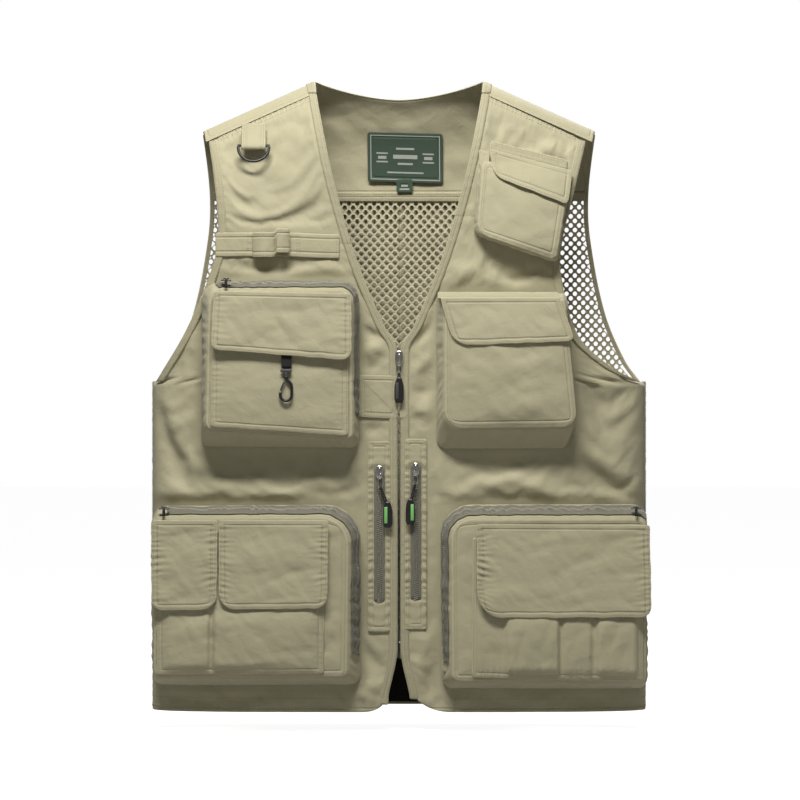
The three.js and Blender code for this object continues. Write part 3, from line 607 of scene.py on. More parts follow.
def settle(P, loose, slack, frames):
    """Lets the loose part of a sewn panel buckle under its own weight, by a few millimetres.

    loose is 0 where the cloth is held; slack is the cloth's extra length as a share of it."""
    rows, cols = P.shape[:2]
    mesh = bpy.data.meshes.new("settling")
    mesh.from_pydata((P.reshape(-1, 3) * MM).tolist(), [], grid_faces(rows, cols).tolist())
    obj = bpy.data.objects.new("settling", mesh)
    bpy.context.scene.collection.objects.link(obj)
    held = obj.vertex_groups.new(name="held")
    for index, weight in enumerate(1 - np.ravel(loose)):
        held.add([index], float(np.clip(weight, 0, 1)), "REPLACE")
    mod = obj.modifiers.new("cloth", "CLOTH")
    s = mod.settings
    s.quality = 5
    s.mass = 0.12
    s.tension_stiffness = s.compression_stiffness = 12
    s.shear_stiffness = 4
    s.bending_stiffness = 0.35
    s.air_damping = 2
    s.vertex_group_mass = "held"
    s.pin_stiffness = 1
    s.shrink_min = s.shrink_max = -slack
    mod.collision_settings.use_collision = False
    mod.point_cache.frame_start, mod.point_cache.frame_end = 1, frames
    scene = bpy.context.scene
    for number in range(1, frames + 1):
        scene.frame_set(number)
    graph = bpy.context.evaluated_depsgraph_get()
    result = obj.evaluated_get(graph).to_mesh()
    co = np.zeros(rows * cols * 3)
    result.vertices.foreach_get("co", co)
    obj.evaluated_get(graph).to_mesh_clear()
    bpy.data.objects.remove(obj)
    scene.frame_set(1)
    moved = co.reshape(rows, cols, 3) / MM - P
    size = np.linalg.norm(moved, axis=2, keepdims=True)
    held_down = np.minimum(1, SETTLE_LIMIT / np.maximum(size, 1e-6))
    return P + moved * held_down * np.asarray(loose)[..., None]


# ---------------------------------------------------------------- fronts
# Where sewn-on pieces hold the cloth flat: x from, x to, z from, z to.
POCKET_ZONES = {
    "right": [(-214, -42, -398, -214), (-266, -40, -654, -456)],
    "left": [(38, 190, -400, -228), (44, 268, -657, -456)],
}
STRAP_ZONES = {
    "right": [(-41, 0, -368, -318), (-36, -8, -594, -386), (-196, -62, -194, -162)],
    "left": [(5, 31, -594, -384)],
}
# Each crease is a line of (x, z) points, how far it stands out, and its width.
CREASES = {
    "right": [
        ([(-184, -118), (-172, -134), (-160, -136), (-151, -124)], -1.7, 5.0),
        ([(-178, -112), (-166, -124), (-156, -126)], 1.6, 6.0),
        ([(-262, -352), (-246, -400), (-222, -446)], -3.4, 8.0),
        ([(-250, -352), (-232, -392), (-212, -430)], 2.4, 10.0),
        ([(-226, -404), (-130, -416), (-56, -404)], -4.6, 20.0),
        ([(-250, -446), (-160, -436), (-60, -440)], 1.8, 16.0),
        ([(-232, -428), (-150, -424), (-70, -446)], -2.2, 7.0),
        ([(-40, -232), (-26, -250), (-13, -262)], 2.2, 5.0),
        ([(-42, -268), (-27, -276), (-12, -270)], -2.4, 5.0),
        ([(-42, -300), (-28, -290), (-14, -292)], 1.8, 5.0),
        ([(-186, -200), (-140, -206), (-80, -196)], -2.4, 7.0),
        ([(-185, -70), (-150, -96), (-128, -130)], -1.6, 12.0),
        ([(-118, -60), (-134, -72), (-140, -90)], -1.8, 6.0),
        ([(-258, -664), (-200, -668), (-120, -662)], -1.6, 6.0),
        ([(-44, -600), (-30, -622), (-14, -640)], -2.6, 6.0),
        ([(-52, -664), (-30, -650), (-16, -660)], 2.0, 6.0),
        ([(-226, -240), (-236, -290), (-238, -340)], -2.0, 7.0),
    ],
    "left": [
        ([(40, -240), (27, -252), (12, -262)], 2.4, 5.0),
        ([(40, -262), (26, -276), (13, -290)], -2.8, 5.5),
        ([(40, -300), (27, -304), (13, -318)], 2.2, 5.5),
        ([(42, -330), (28, -338), (14, -336)], -2.4, 6.0),
        ([(42, -364), (30, -356), (14, -360)], 1.8, 6.0),
        ([(58, -452), (84, -436), (118, -428), (150, -438), (178, -452)], 2.6, 9.0),
        ([(60, -438), (90, -420), (130, -412), (168, -424)], -3.0, 8.0),
        ([(176, -404), (206, -420), (240, -446), (262, -460)], -3.2, 8.0),
        ([(190, -398), (222, -412), (258, -436)], 2.6, 9.0),
        ([(48, -404), (110, -412), (186, -404)], -3.6, 12.0),
        ([(114, -56), (132, -66), (146, -62)], -2.6, 8.0),
        ([(150, -82), (166, -72), (182, -84)], 2.2, 7.0),
        ([(120, -76), (146, -72), (170, -96)], -1.8, 5.0),
        ([(96, -200), (124, -212), (160, -208)], -2.4, 8.0),
        ([(80, -196), (66, -212), (58, -226)], 1.8, 7.0),
        ([(204, -300), (212, -350), (222, -390)], -2.4, 8.0),
        ([(26, -610), (18, -632), (20, -660)], 2.2, 6.0),
        ([(44, -620), (34, -640), (36, -668)], -2.4, 6.0),
    ],
}


def box_distance(x, z, zone):
    """How far (x, z) lies outside a zone."""
    x0, x1, z0, z1 = zone
    dx = np.maximum(np.maximum(x0 - x, x - x1), 0)
    dz = np.maximum(np.maximum(z0 - z, z - z1), 0)
    return np.hypot(dx, dz)


def arc_row(x0, x1, z, count):
    """x of evenly spaced points along the body's curve at one height."""
    fine = x0 + (x1 - x0) * (1 - (1 - np.linspace(0, 1, 300)) ** 2.2)
    run = np.r_[0, np.cumsum(np.hypot(np.diff(fine), np.diff(depth_at(fine, z))))]
    return np.interp(np.linspace(0, run[-1], count), run, fine)


def hem_rise(x, side):
    """The hem's front corner is rounded, more so on the wearer's left."""
    radius = 26.0 if side == "right" else 44.0
    t = np.clip(1 - (np.abs(x) - 13) / radius, 0, 1)
    return radius * 0.62 * (1 - np.sqrt(1 - t**2))


def front_grid(side):
    """The whole front from its yoke seam to the hem, for x above 0, and the row where it is split."""
    cols = 66
    split = SPLIT[side]
    upper = np.linspace(0, 1, 36 if side == "right" else 30)
    top_x = np.linspace(neck_edge(-YOKE_DROP) + 2, 206, cols)
    top_z = ridge(top_x) - YOKE_DROP
    X, Z = [], []
    for t in upper:
        z = top_z + (split - top_z) * t
        inner, outer = neck_edge(z[0]) + 1.5, front_armhole[side](z[-1]) - 1.2
        X.append(inner + (outer - inner) * np.linspace(0, 1, cols))
        Z.append(z)
    for z in np.r_[np.linspace(split, UNDERARM, 36)[1:], np.linspace(UNDERARM, HEM, 82)[1:]]:
        inner = neck_edge(z) + 1.5
        outer = front_armhole[side](z) - 1.2 if z > UNDERARM else HALF_WIDTH
        even = arc_row(inner, outer, z, cols)
        if split - z < 40:
            linear = inner + (outer - inner) * np.linspace(0, 1, cols)
            share = smooth((split - z) / 40)
            even = linear * (1 - share) + even * share
        X.append(even)
        Z.append(np.full(cols, z))
    X, Z = np.array(X), np.array(Z)
    near_hem = smooth((-Z - 600) / 80)
    Z = Z + hem_rise(X, side) * near_hem
    return X, Z, len(upper)


SMALL_POCKET_SLOPE = 0.235
# Angle and seed of the long and the short folds, and the strength of the gathers below the yoke.
FRONT_FOLDS = {"right": ((24, 11), (-35, 31), 1.0), "left": ((-20, 23), (38, 47), 0.5)}


def armhole_distance(side, X, Z):
    """How far the front cloth lies inside its armhole."""
    return np.where(Z > UNDERARM, front_armhole[side](np.maximum(Z, UNDERARM)) - X, 60)


def front_wrinkles(side, X, Z):
    """How far the front cloth stands off its smooth shape, and how free it is there."""
    s = SIGN[side]
    x = s * X
    free = np.ones(X.shape)
    for zone in POCKET_ZONES[side]:
        free *= smooth(box_distance(x, Z, zone) / 11)
    if side == "left":
        lean = Z + SMALL_POCKET_SLOPE * (x - 134)
        free *= smooth(box_distance(x - 0.1 * (Z + 140), lean, (84, 184, -186, -100)) / 9)
    for zone in STRAP_ZONES[side]:
        free *= 0.25 + 0.75 * smooth(box_distance(x, Z, zone) / 7)
    edge_in = X - neck_edge(Z)
    armhole = armhole_distance(side, X, Z)
    side_seam = np.where(Z < -300, HALF_WIDTH - X, 60)
    yoke = ridge(X) - YOKE_DROP - Z
    held = smooth((edge_in - 6) / 12) * smooth(yoke / 16) * smooth((armhole - 6) / 12)
    held *= smooth(side_seam / 22) * (0.35 + 0.65 * smooth((Z - HEM) / 14))
    free = free * held
    (long_angle, long_seed), (short_angle, short_seed), yoke_gathers = FRONT_FOLDS[side]
    soft = 3.6 * folds(x, Z, long_angle, 120, 34, long_seed)
    soft += 2.6 * folds(x, Z, short_angle, 70, 19, short_seed)
    fine = 0.9 * folds(x, Z, 70, 26, 9, 61)
    soft = soft * (1 - 0.4 * smooth((Z + 165) / 30))
    lift = (soft + fine) * free
    for line, amp, width in CREASES[side]:
        lift += crease(x, Z, line, 1.7 * amp, width) * np.sqrt(np.clip(free, 0, 1))
    lift += 1.1 * pucker(yoke - 4, X, 5.2, 6.0, 3) * smooth((14 - yoke) / 8) * yoke_gathers
    lift += 0.9 * pucker(armhole - 9, Z, 9.0, 7.0, 5) * smooth((24 - armhole) / 10)
    lift += 0.8 * pucker(edge_in - 10, Z, 11.0, 7.0, 6) * smooth((24 - edge_in) / 10)
    hem = Z - HEM
    lift += 1.3 * pucker(hem - 9, X, 15.0, 9.0, 7) * smooth((30 - hem) / 18)
    for zone in POCKET_ZONES[side]:
        lift -= 1.2 * (1 - smooth(box_distance(x, Z, zone) / 5))
    return np.where(lift < -3, -3 + 0.55 * (lift + 3), lift), free


for side, s in SIGN.items():
    X, Z, cut = front_grid(side)
    lift, free = front_wrinkles(side, X, Z)
    P = on_front(s * X, Z)
    P += normals(P, (0, -1, 0)) * lift[..., None]
    P = settle(P, np.clip(free, 0, 1), slack=0.010, frames=14)
    edge = np.minimum(X - neck_edge(Z), armhole_distance(side, X, Z))
    edge = np.minimum(edge, (Z - HEM) + 1.5)
    along, down = lengths(P)
    for part, rows in (("upper", slice(0, cut)), ("lower", slice(cut - 2, None))):
        piece = P[rows].copy()
        # The lower cloth starts a little under the upper one.
        if part == "lower":
            piece[0, :, 1] += 0.5
        name = "front_cloth_%s_%s" % (part, side)
        uv = np.stack([along[rows], down[rows]], -1)
        obj = new_object(name, piece, grid_faces(*piece.shape[:2], s < 0), cloth, uv, edge[rows])
        finish_cloth(obj, 0.9)
        node = "chest_panel_" if part == "upper" else "front_panel_"
        place(obj, (part, side), [node + side])
        height = down[rows].max() - down[rows].min()
        u0, u1, insets = (0.0, 1.0, (2.2, 6.0)) if part == "upper" else (0.16, 0.999, (5.0, 17.0))
        for inset in insets:
            v = inset / height if part == "upper" else 1 - inset / height
            sew((part, side), piece, [(u0, v), (u1, v)])


def strip_on_front(side, inner, outer, z_top, z_bottom, lift, rows, seed):
    """A band down a front between two x(z) curves, bowed a little across its width."""
    s = SIGN[side]
    z = np.linspace(z_top, z_bottom, rows)[:, None]
    u = np.linspace(0, 1, 5)[None]
    x = inner(z) + (outer(z) - inner(z)) * u
    z = np.broadcast_to(z, x.shape)
    bow = 0.7 * np.sin(np.pi * u) ** 0.6
    wave = 0.35 * pucker((u - 0.5) * 10, z, 8.5, 14.0, seed)
    P = on_front(s * x, z, lift)
    P += normals(P, (0, -1, 0)) * (bow + wave)[..., None]
    d = np.minimum(u, 1 - u) * np.abs(outer(z) - inner(z))
    return P, np.broadcast_to(d, x.shape)


for side in ("right", "left"):
    cut = SPLIT[side]
    placket_end = HEM + (8 if side == "right" else 14)
    for part, node, z0, z1, lift, rows in (
        ("upper", "neck_binding_", -YOKE_DROP, cut, 1.1, 40),
        ("lower", "placket_", cut + 4, placket_end, 0.95, 130),
    ):
        P, d = strip_on_front(side, neck_edge, lambda z: neck_edge(z) + 10, z0, z1, lift, rows, seed=4)
        obj = cloth_grid(node + "cloth_" + side, P, binding, edge=d, thickness=1.6, uv_turn=True)
        place(obj, (part, side), [node + side])
        for u in (0.18, 0.86):
            sew((part, side), P, [(u, 0), (u, 1)])
    outer = front_armhole[side]
    for part, z0, z1, rows in (("upper", -66, cut, 26), ("lower", cut + 4, UNDERARM + 1, 34)):
        inside, outside = (lambda z: outer(z) - 9), (lambda z: outer(z) + 0.4)
        P, d = strip_on_front(side, inside, outside, z0, z1, 1.0, rows, seed=8)
        name = "armhole_binding_%s_%s" % (part, side)
        place(cloth_grid(name, P, binding, edge=d, thickness=1.4, uv_turn=True), (part, side))
        for u in (0.15, 0.8):
            sew((part, side), P, [(u, 0), (u, 1)])

# ---------------------------------------------------------------- back and yokes
def buckle(x, z):
    return 2.4 * folds(x, z, 12, 130, 30, 71) + 1.5 * folds(x, z, -40, 60, 16, 83)


columns = np.linspace(-NECK_HALF, NECK_HALF, 46)
back_t = np.linspace(0, 1, 30)[:, None] ** 1.7
Z = back_neck(columns)[None] + (BACK_SEAM - back_neck(columns)[None]) * back_t
X = np.broadcast_to(columns, Z.shape)
still = smooth((back_neck(X) - Z) / 14) * smooth((Z - BACK_SEAM) / 14)
centre = on_back(X, Z)
centre[..., 1] += (buckle(X, Z) * still) + 0.4 * pucker(Z - BACK_SEAM - 4, X, 7, 7, 12)
yoke = Parts()
yoke_uv, yoke_edge = [], []
yoke.add(centre, grid_faces(*centre.shape[:2], True))
yoke_uv.append(np.stack([X, Z], -1).reshape(-1, 2))
yoke_edge.append((np.minimum(Z - BACK_SEAM, back_neck(X) - Z + 4)).ravel())
shoulders = {}
for side, s in SIGN.items():
    u = np.linspace(0, 1, 32)
    t = np.linspace(1, 0, 9)[:-1, None]
    front_x = (NECK_HALF + (neck_edge(-YOKE_DROP) + 0.5 - NECK_HALF) * t) * (1 - u) + (213 - 4 * t) * u
    front_z = ridge(front_x) - YOKE_DROP * t**2
    back_x = NECK_HALF * (1 - u) + (213 - 7 * back_t) * u
    back_z = ridge(back_x) * (1 - back_t) + BACK_SEAM * back_t
    front_part = on_front(s * front_x, front_z, 0.9)
    front_part[..., 1] -= 0.5 * pucker((front_z - ridge(front_x)) + 12, front_x, 5.2, 7, 14)
    back_part = on_back(s * back_x, back_z)
    still = smooth(back_t * 4) * smooth((back_z - BACK_SEAM) / 14) * smooth((1 - u) * 8)
    gathers = 0.4 * pucker(back_z - BACK_SEAM - 4, s * back_x, 7, 7, 12)
    back_part[..., 1] += buckle(s * back_x, back_z) * still + gathers
    whole = np.concatenate([front_part, back_part])
    shoulders[side] = whole
    yoke.add(whole, grid_faces(*whole.shape[:2], s > 0))
    along, down = lengths(whole)
    yoke_uv.append(np.stack([along, -down], -1).reshape(-1, 2) + (s * NECK_HALF, 0))
    seam = np.concatenate([np.full(front_x.shape, 60), back_z - BACK_SEAM])
    yoke_edge.append(np.minimum(np.minimum(down, (1 - u) * 120 + 2), seam).ravel())
    for inset in (3.0, 6.5, 10.0 if side == "right" else 9.0):
        v = inset / down.max()
        sew("back", whole, [(0.02, v), (0.98, v)], (0, -1, 0.3))
yoke_cloth = yoke.make("yoke_cloth", cloth, np.concatenate(yoke_uv))
yoke_cloth.data.attributes["edge"].data.foreach_set("value", np.concatenate(yoke_edge))
bm = bmesh.new()
bm.from_mesh(yoke_cloth.data)
bmesh.ops.remove_doubles(bm, verts=bm.verts, dist=0.0002)
bm.to_mesh(yoke_cloth.data)
bm.free()
finish_cloth(yoke_cloth, 0.9)
place(yoke_cloth, "back", ["back_yoke", "shoulder_yoke_right", "shoulder_yoke_left"])
for v in (0.955, 0.985):
    sew("back", centre, [(0, v), (1, v)], (0, 1, 0))
    for side in ("right", "left"):
        sew("back", shoulders[side][8:], [(0, v), (1, v)], (0, 1, 0))

# The neck band runs from one front seam over the shoulder, round the back neck and down the other side.
band = []
for side, s in SIGN.items():
    z = np.linspace(-YOKE_DROP, -0.6, 6)[:, None]
    w = np.linspace(0, 10, 5)[None]
    x = neck_edge(z) + w
    band.append(on_front(s * x, np.minimum(z + 0 * w, ridge(x) - 0.3), 1.5))
u = np.linspace(-1, 1, 61)[:, None]
x = NECK_HALF * np.sin(u * np.pi / 2)
turn = smooth((np.abs(x) - 62) / 29)
w = np.linspace(0, 9.5, 5)[None]
bx = x + np.sign(x) * w * turn
bz = np.minimum(back_neck(x) - w * (1 - 0.65 * turn), ridge(bx) - 0.3)
middle = on_back(bx, bz, 1.2)
band = np.concatenate([band[0], middle[1:-1], band[1][::-1]])
d = np.broadcast_to(np.minimum(w, 9.5 - w), band.shape[:2])
obj = new_object(
    "neck_band_back", band, grid_faces(*band.shape[:2]), binding, np.stack(lengths(band)[::-1], -1), d
)
finish_cloth(obj, 2.4)
obj.modifiers["thickness"].offset = 0
place(obj, "back", ["back_neck_binding"])

for name, lift, facing in (("seam_band_outside", 0.9, 1), ("seam_band_inside", -2.2, -1)):
    x = np.linspace(-204, 204, 90)[None]
    z = np.linspace(-117.5, -127.5, 5)[:, None]
    lifts = lift + 0.3 * pucker(z + 122, x, 6, 9, 17) + 0 * x
    P = on_back(x + 0 * z, z + 0 * x, lifts)
    d = np.broadcast_to(np.minimum(np.linspace(0, 10, 5), np.linspace(10, 0, 5))[:, None], P.shape[:2])
    place(cloth_grid(name, P, binding, (0, facing, 0), 0.8, edge=d), "back")
    for v in (0.18, 0.8):
        sew("back", P, [(0, v), (1, v)], (0, facing, 0))

for side, s in SIGN.items():
    z = np.linspace(-56, UNDERARM, 60)[:, None]
    u = np.linspace(0, 1, 5)[None]
    x = back_armhole(z) - 5.6 * (1 - u)
    zz = np.broadcast_to(z, x.shape)
    P = on_back(s * x, zz, 0.9 + 0.6 * np.sin(np.pi * u) + 0.3 * pucker((u - 0.5) * 10, z, 8, 12, 21))
    d = np.broadcast_to(np.minimum(u, 1 - u) * 5.6, x.shape)
    obj = cloth_grid("armhole_binding_back_" + side, P, binding, (0, 1, 0), 2.2, edge=d, uv_turn=True)
    place(obj, "back", ["back_armhole_binding_" + side])
    for v in (0.15, 0.82):
        sew("back", P, [(v, 0), (v, 1)], (0, 1, 0))

# ---------------------------------------------------------------- netting of the back
girth_x = np.linspace(0, HALF_WIDTH, 4000)
girth_run = np.r_[0, np.cumsum(np.hypot(np.diff(girth_x), np.diff(depth_at(girth_x, -400.0))))]
PITCH_X, PITCH_Z = 9.2, 10.0
NET_FLAT = (0.288, 0.518)


def net_piece(name, side):
    """Half of the net: each mesh is a six-sided cell whose cords rise to a crest round a rounded hole."""
    s = SIGN[side]
    half = int(girth_run[-1] / PITCH_X) + 1
    centres = []
    for row in range(int((640 - 122) / (PITCH_Z / 2))):
        z = -124.0 - row * PITCH_Z / 2
        offset = 0.0 if row % 2 else PITCH_X / 2
        for k in range(half):
            run = offset + k * PITCH_X
            if run > girth_run[-1] - 1.0 or (run == 0 and side == "left"):
                continue
            x = np.interp(run, girth_run, girth_x)
            if z <= UNDERARM or x <= back_armhole(z) - 5.2:
                centres.append((run, z))
    centres = np.array(centres)
    a, c = PITCH_X / 2, (PITCH_X**2 / 4 + PITCH_Z**2 / 4) / 2
    b = (c - PITCH_X / 2 * a) / (PITCH_Z / 2)
    tip = c / (PITCH_Z / 2)
    corners = np.array([(a, -b), (a, b), (0, tip), (-a, b), (-a, -b), (0, -tip)])
    ring = np.stack([corners, (corners + np.roll(corners, -1, 0)) / 2], 1).reshape(-1, 2)
    turn = np.arctan2(ring[:, 1], ring[:, 0])
    reach = 1 / (np.abs(np.cos(turn) / 2.45) ** 1.8 + np.abs(np.sin(turn) / 2.7) ** 1.8) ** (1 / 1.8)
    hole = np.stack([np.cos(turn), np.sin(turn)], 1) * reach[:, None]
    rings = np.concatenate([ring, (ring + hole) / 2, hole])
    rise = np.r_[np.full(12, 0.75), np.full(12, 0.62), np.full(12, 0.0)]
    flat = centres[:, None] + rings[None]
    run = np.clip(flat[..., 0], 0, girth_run[-1])
    z = np.clip(flat[..., 1], -641, -119)
    x = np.interp(run, girth_run, girth_x)
    wave = 1.2 * folds(s * run, z, 15, 90, 30, 91) * smooth((z + 640) / 30) * smooth((-z - 122) / 20)
    y = depth_at(x, z) - 0.9 + rise[None] + wave * smooth((HALF_WIDTH - x) / 20)
    verts = np.stack([s * x, y, z], -1).reshape(-1, 3)
    j = np.arange(12)
    k = (j + 1) % 12
    strip = np.stack([j, k, k + 12, j + 12], 1)
    cell = np.concatenate([strip, strip + 12])
    faces = (np.arange(len(centres))[:, None, None] * 36 + cell[None]).reshape(-1, 4)
    if s > 0:
        faces = faces[:, ::-1]
    # Neighbouring cells share the points where they meet.
    spot = np.round(verts / 0.02).astype(np.int64)
    _, first, index = np.unique(spot, axis=0, return_index=True, return_inverse=True)
    uv = np.stack([s * run, z], -1).reshape(-1, 2)[first]
    return new_object(name, verts[first], np.ravel(index)[faces], net, uv)


for side in ("right", "left"):
    obj = net_piece("net_" + side, side)
    place(obj, "back", ["back_mesh"] if side == "right" else ())
    cord_area = max(face_area(obj), 0.31 * NET_FLAT[0] * NET_FLAT[1])

# A narrow felled seam down each side, where a front meets the back.
for side, s in SIGN.items():
    z = np.linspace(UNDERARM + 2, HEM + 1, 90)[:, None]
    turn = np.linspace(-1.15, 1.15, 7)[None]
    reach = 1.0 + 0.1 * pucker(turn * 3, z, 9.0, 9.0, 131)
    x = s * (262.6 + 5.2 * np.cos(turn) * reach)
    P = np.stack([x, 4.6 * np.sin(turn) + 0 * z, z + 0 * turn], -1)
    d = np.broadcast_to((1.15 - np.abs(turn)) * 4.6, P.shape[:2])
    obj = cloth_grid("side_seam_" + side, P, binding, (s, 0, 0), 0.7, edge=d, uv_turn=True)
    place(obj, "back")
    for u in (0.5, 0.8):
        sew("back", P, [(u, 0), (u, 1)], (s, 0, 0))

# Hem band, its dark facing and the cargo pocket of the back.
round_run = np.r_[-girth_run[::-1], girth_run]
round_x = np.r_[-girth_x[::-1], girth_x]
round_the_back = np.interp(np.linspace(-girth_run[-1], girth_run[-1], 130), round_run, round_x)
for name, z0, z1, lift, facing, material, cols, node, rows in (
    ("back_hem_cloth", -636, -680, 0.5, 1, cloth, round_the_back, "back_hem_band", 12),
    ("hem_facing_cloth", -612, -677, -2.6, -1, near_black, np.linspace(-150, 150, 70), "back_hem_facing", 14),
):
    z = np.linspace(z0, z1, rows)[:, None]
    lifts = lift + 0.5 * pucker(z + 672, cols[None], 16, 12, 33) * smooth((HALF_WIDTH - np.abs(cols)) / 30)
    P = on_back(cols[None] + 0 * z, z + 0 * cols[None], lifts)
    d = np.broadcast_to(np.minimum(z0 - z, z - z1), P.shape[:2])
    obj = cloth_grid(name, P, material, (0, facing, 0), 1.0, edge=d)
    place(obj, "back", [node])
    if facing > 0:
        for v in (0.1, 0.62, 0.9):
            sew("back", P, [(0.02, v), (0.98, v)], (0, 1, 0))

CARGO_WIDTH, CARGO_HEIGHT, CARGO_TOP, CARGO_BOTTOM = 300, 484, -123.5, -612


def box_corners(x0, x1, z0, z1):
    return [(x0, z1), (x1, z1), (x1, z0), (x0, z0)]


us, vs = patch_uv(CARGO_WIDTH, CARGO_HEIGHT, 5.0)
outline = box_corners(-CARGO_WIDTH / 2, CARGO_WIDTH / 2, CARGO_BOTTOM, CARGO_TOP)
XZ = patch_points(outline, (2, 2, 14, 14), us, vs)
x, z = XZ[..., 0], XZ[..., 1]
U, V = np.meshgrid(us, vs)
rim = edge_distance(us, vs, CARGO_WIDTH, CARGO_HEIGHT, "blr")
lift = 1.0 + 9.5 * smooth(rim / 22) * (1 - 0.7 * smooth((0.16 - V) / 0.16))
lift += (2.6 * folds(x, z, 8, 150, 40, 101) + 1.6 * folds(x, z, -50, 90, 22, 107)) * smooth(rim / 30)
lift += 0.7 * pucker(rim - 6, U * CARGO_WIDTH + V * CARGO_HEIGHT, 9, 8, 111) * smooth((26 - rim) / 12)
P = on_back(x, z, np.maximum(lift, 0.8))
P = settle(P, smooth((rim - 4) / 20) * smooth((V - 0.03) * 14), slack=0.008, frames=12)
rim = edge_distance(us, vs, CARGO_WIDTH, CARGO_HEIGHT)
cargo = cloth_grid("back_cargo_cloth", P, cloth, (0, 1, 0), 1.0, edge=rim)
place(cargo, "back", ["back_cargo_pocket"])
for inset in (3.0, 8.5):
    sew("back", P, inset_route(CARGO_WIDTH, CARGO_HEIGHT, inset, "blr"), (0, 1, 0))
top_hem = 20 / CARGO_HEIGHT
sew("back", P, [(0.01, top_hem), (0.99, top_hem)], (0, 1, 0))

# Neck label with its size tab, plain apart from a pale border and bars.
def marks(name, grid, bars):
    """Thin flat bars laid on a grid; each is (u from, u to, v from, v to) in shares of it."""
    parts = Parts()
    rows, cols = grid.shape[0] - 1, grid.shape[1] - 1
    for u0, u1, v0, v1 in bars:
        U, V = np.meshgrid(np.linspace(u0, u1, 8), np.linspace(v0, v1, 3))
        Q = sample(grid, V.ravel() * rows, U.ravel() * cols).reshape(3, 8, 3)
        Q[..., 1] -= 0.18
        parts.add(Q, grid_faces(3, 8))
    place(parts.make(name, pale), "back")


us, vs = patch_uv(83, 55, 4.0)
XZ = patch_points([(-35, -51.5), (48, -53.5), (48.5, -108.5), (-34.5, -106)], (1, 1, 1, 1), us, vs)
P = on_back(XZ[..., 0], XZ[..., 1], -3.4 - 0.5 * smooth((np.meshgrid(us, vs)[1]) * 2))
label = cloth_grid("neck_label_cloth", P, green, (0, -1, 0), 0.6, edge=edge_distance(us, vs, 83, 55))
place(label, "back", ["neck_label"])
border = [(0.04, 0.96, 0.055, 0.075), (0.04, 0.96, 0.925, 0.945)]
border += [(0.04, 0.052, 0.055, 0.945), (0.948, 0.96, 0.055, 0.945)]
left_bars = [(0.12, 0.27, 0.40, 0.43), (0.14, 0.25, 0.47, 0.53), (0.12, 0.27, 0.57, 0.60)]
right_bars = [(0.73, 0.88, 0.40, 0.43), (0.75, 0.86, 0.47, 0.53), (0.73, 0.88, 0.57, 0.60)]
middle_bars = [(0.38, 0.62, 0.30, 0.34), (0.34, 0.66, 0.44, 0.52), (0.40, 0.60, 0.60, 0.64)]
marks("label_marks", P, border + left_bars + right_bars + middle_bars + [(0.26, 0.74, 0.78, 0.81)])
us, vs = patch_uv(18, 15, 3.0)
XZ = patch_points(box_corners(-3, 15, -118, -103), (0.5,) * 4, us, vs)
Q = on_back(XZ[..., 0], XZ[..., 1], -4.8)
place(cloth_grid("size_tab", Q, green, (0, -1, 0), 0.4, edge=edge_distance(us, vs, 18, 15)), "back")
marks("size_tab_marks", Q, [(0.3, 0.7, 0.42, 0.56), (0.2, 0.8, 0.68, 0.8)])

# ---------------------------------------------------------------- zips
def zip_teeth(path, across, normal, pitch=2.1, half=2.3, size=1.05):
    """Two rows of coils along a path, meeting in its middle."""
    run = np.r_[0, np.cumsum(np.linalg.norm(np.diff(path, axis=0), axis=1))]
    count = int(run[-1] / pitch)
    q = (np.arange(count) + 0.5) * pitch

    def at(values):
        return np.stack([np.interp(q, run, values[:, k]) for k in range(3)], -1)

    p, a, n = at(path), at(across), at(normal)
    a /= np.linalg.norm(a, axis=1, keepdims=True)
    n /= np.linalg.norm(n, axis=1, keepdims=True)
    t = np.cross(a, n)
    parts = Parts()
    for sign, shift in ((1, 0.0), (-1, pitch / 2)):
        centre = p + a * sign * half * 0.52 + t * shift
        ring = []
        for da, dt, dn in (
            (-half * 0.62, -size / 2, 0.0), (half * 0.52, -size / 2, 0.0), (half * 0.52, size / 2, 0.0),
            (-half * 0.62, size / 2, 0.0), (-half * 0.45, -size / 4, 1.0), (half * 0.4, -size / 4, 0.95),
            (half * 0.4, size / 4, 0.95), (-half * 0.45, size / 4, 1.0),
        ):
            ring.append(centre + a * da * sign + t * dt + n * dn)
        shape = np.array([[4, 5, 6, 7], [0, 1, 5, 4], [1, 2, 6, 5], [2, 3, 7, 6], [3, 0, 4, 7]])
        faces = ((np.arange(count) * 8)[:, None, None] + shape[None]).reshape(-1, 4)
        parts.add(np.stack(ring, 1), faces)
    return parts


def upright(count):
    """The directions across and out of an upright zip, for each point of its path."""
    return np.tile([1.0, 0.0, 0.0], (count, 1)), np.tile([0.0, -1.0, 0.0], (count, 1))


def straight_zip(name, x, z0, z1, y, width, body):
    """An upright zip whose tape lies at depth y, facing the front."""
    z = np.linspace(z0, z1, max(8, int(abs(z1 - z0) / 6)))[:, None]
    w = np.linspace(-width / 2, width / 2, 7)[None]
    P = np.stack([x + w + 0 * z, y - 0.25 * np.cos(w / width * np.pi) + 0 * z, z + 0 * w], -1)
    edge = np.abs(np.abs(w) - width / 2) + 0 * z
    place(cloth_grid(name + "_tape", P, tape, thickness=0.5, subdiv=0, edge=edge), body, [name])
    path = P[:, 3].copy()
    path[:, 1] -= 0.1
    place(zip_teeth(path, *upright(len(path))).make(name + "_coil", coil), body)


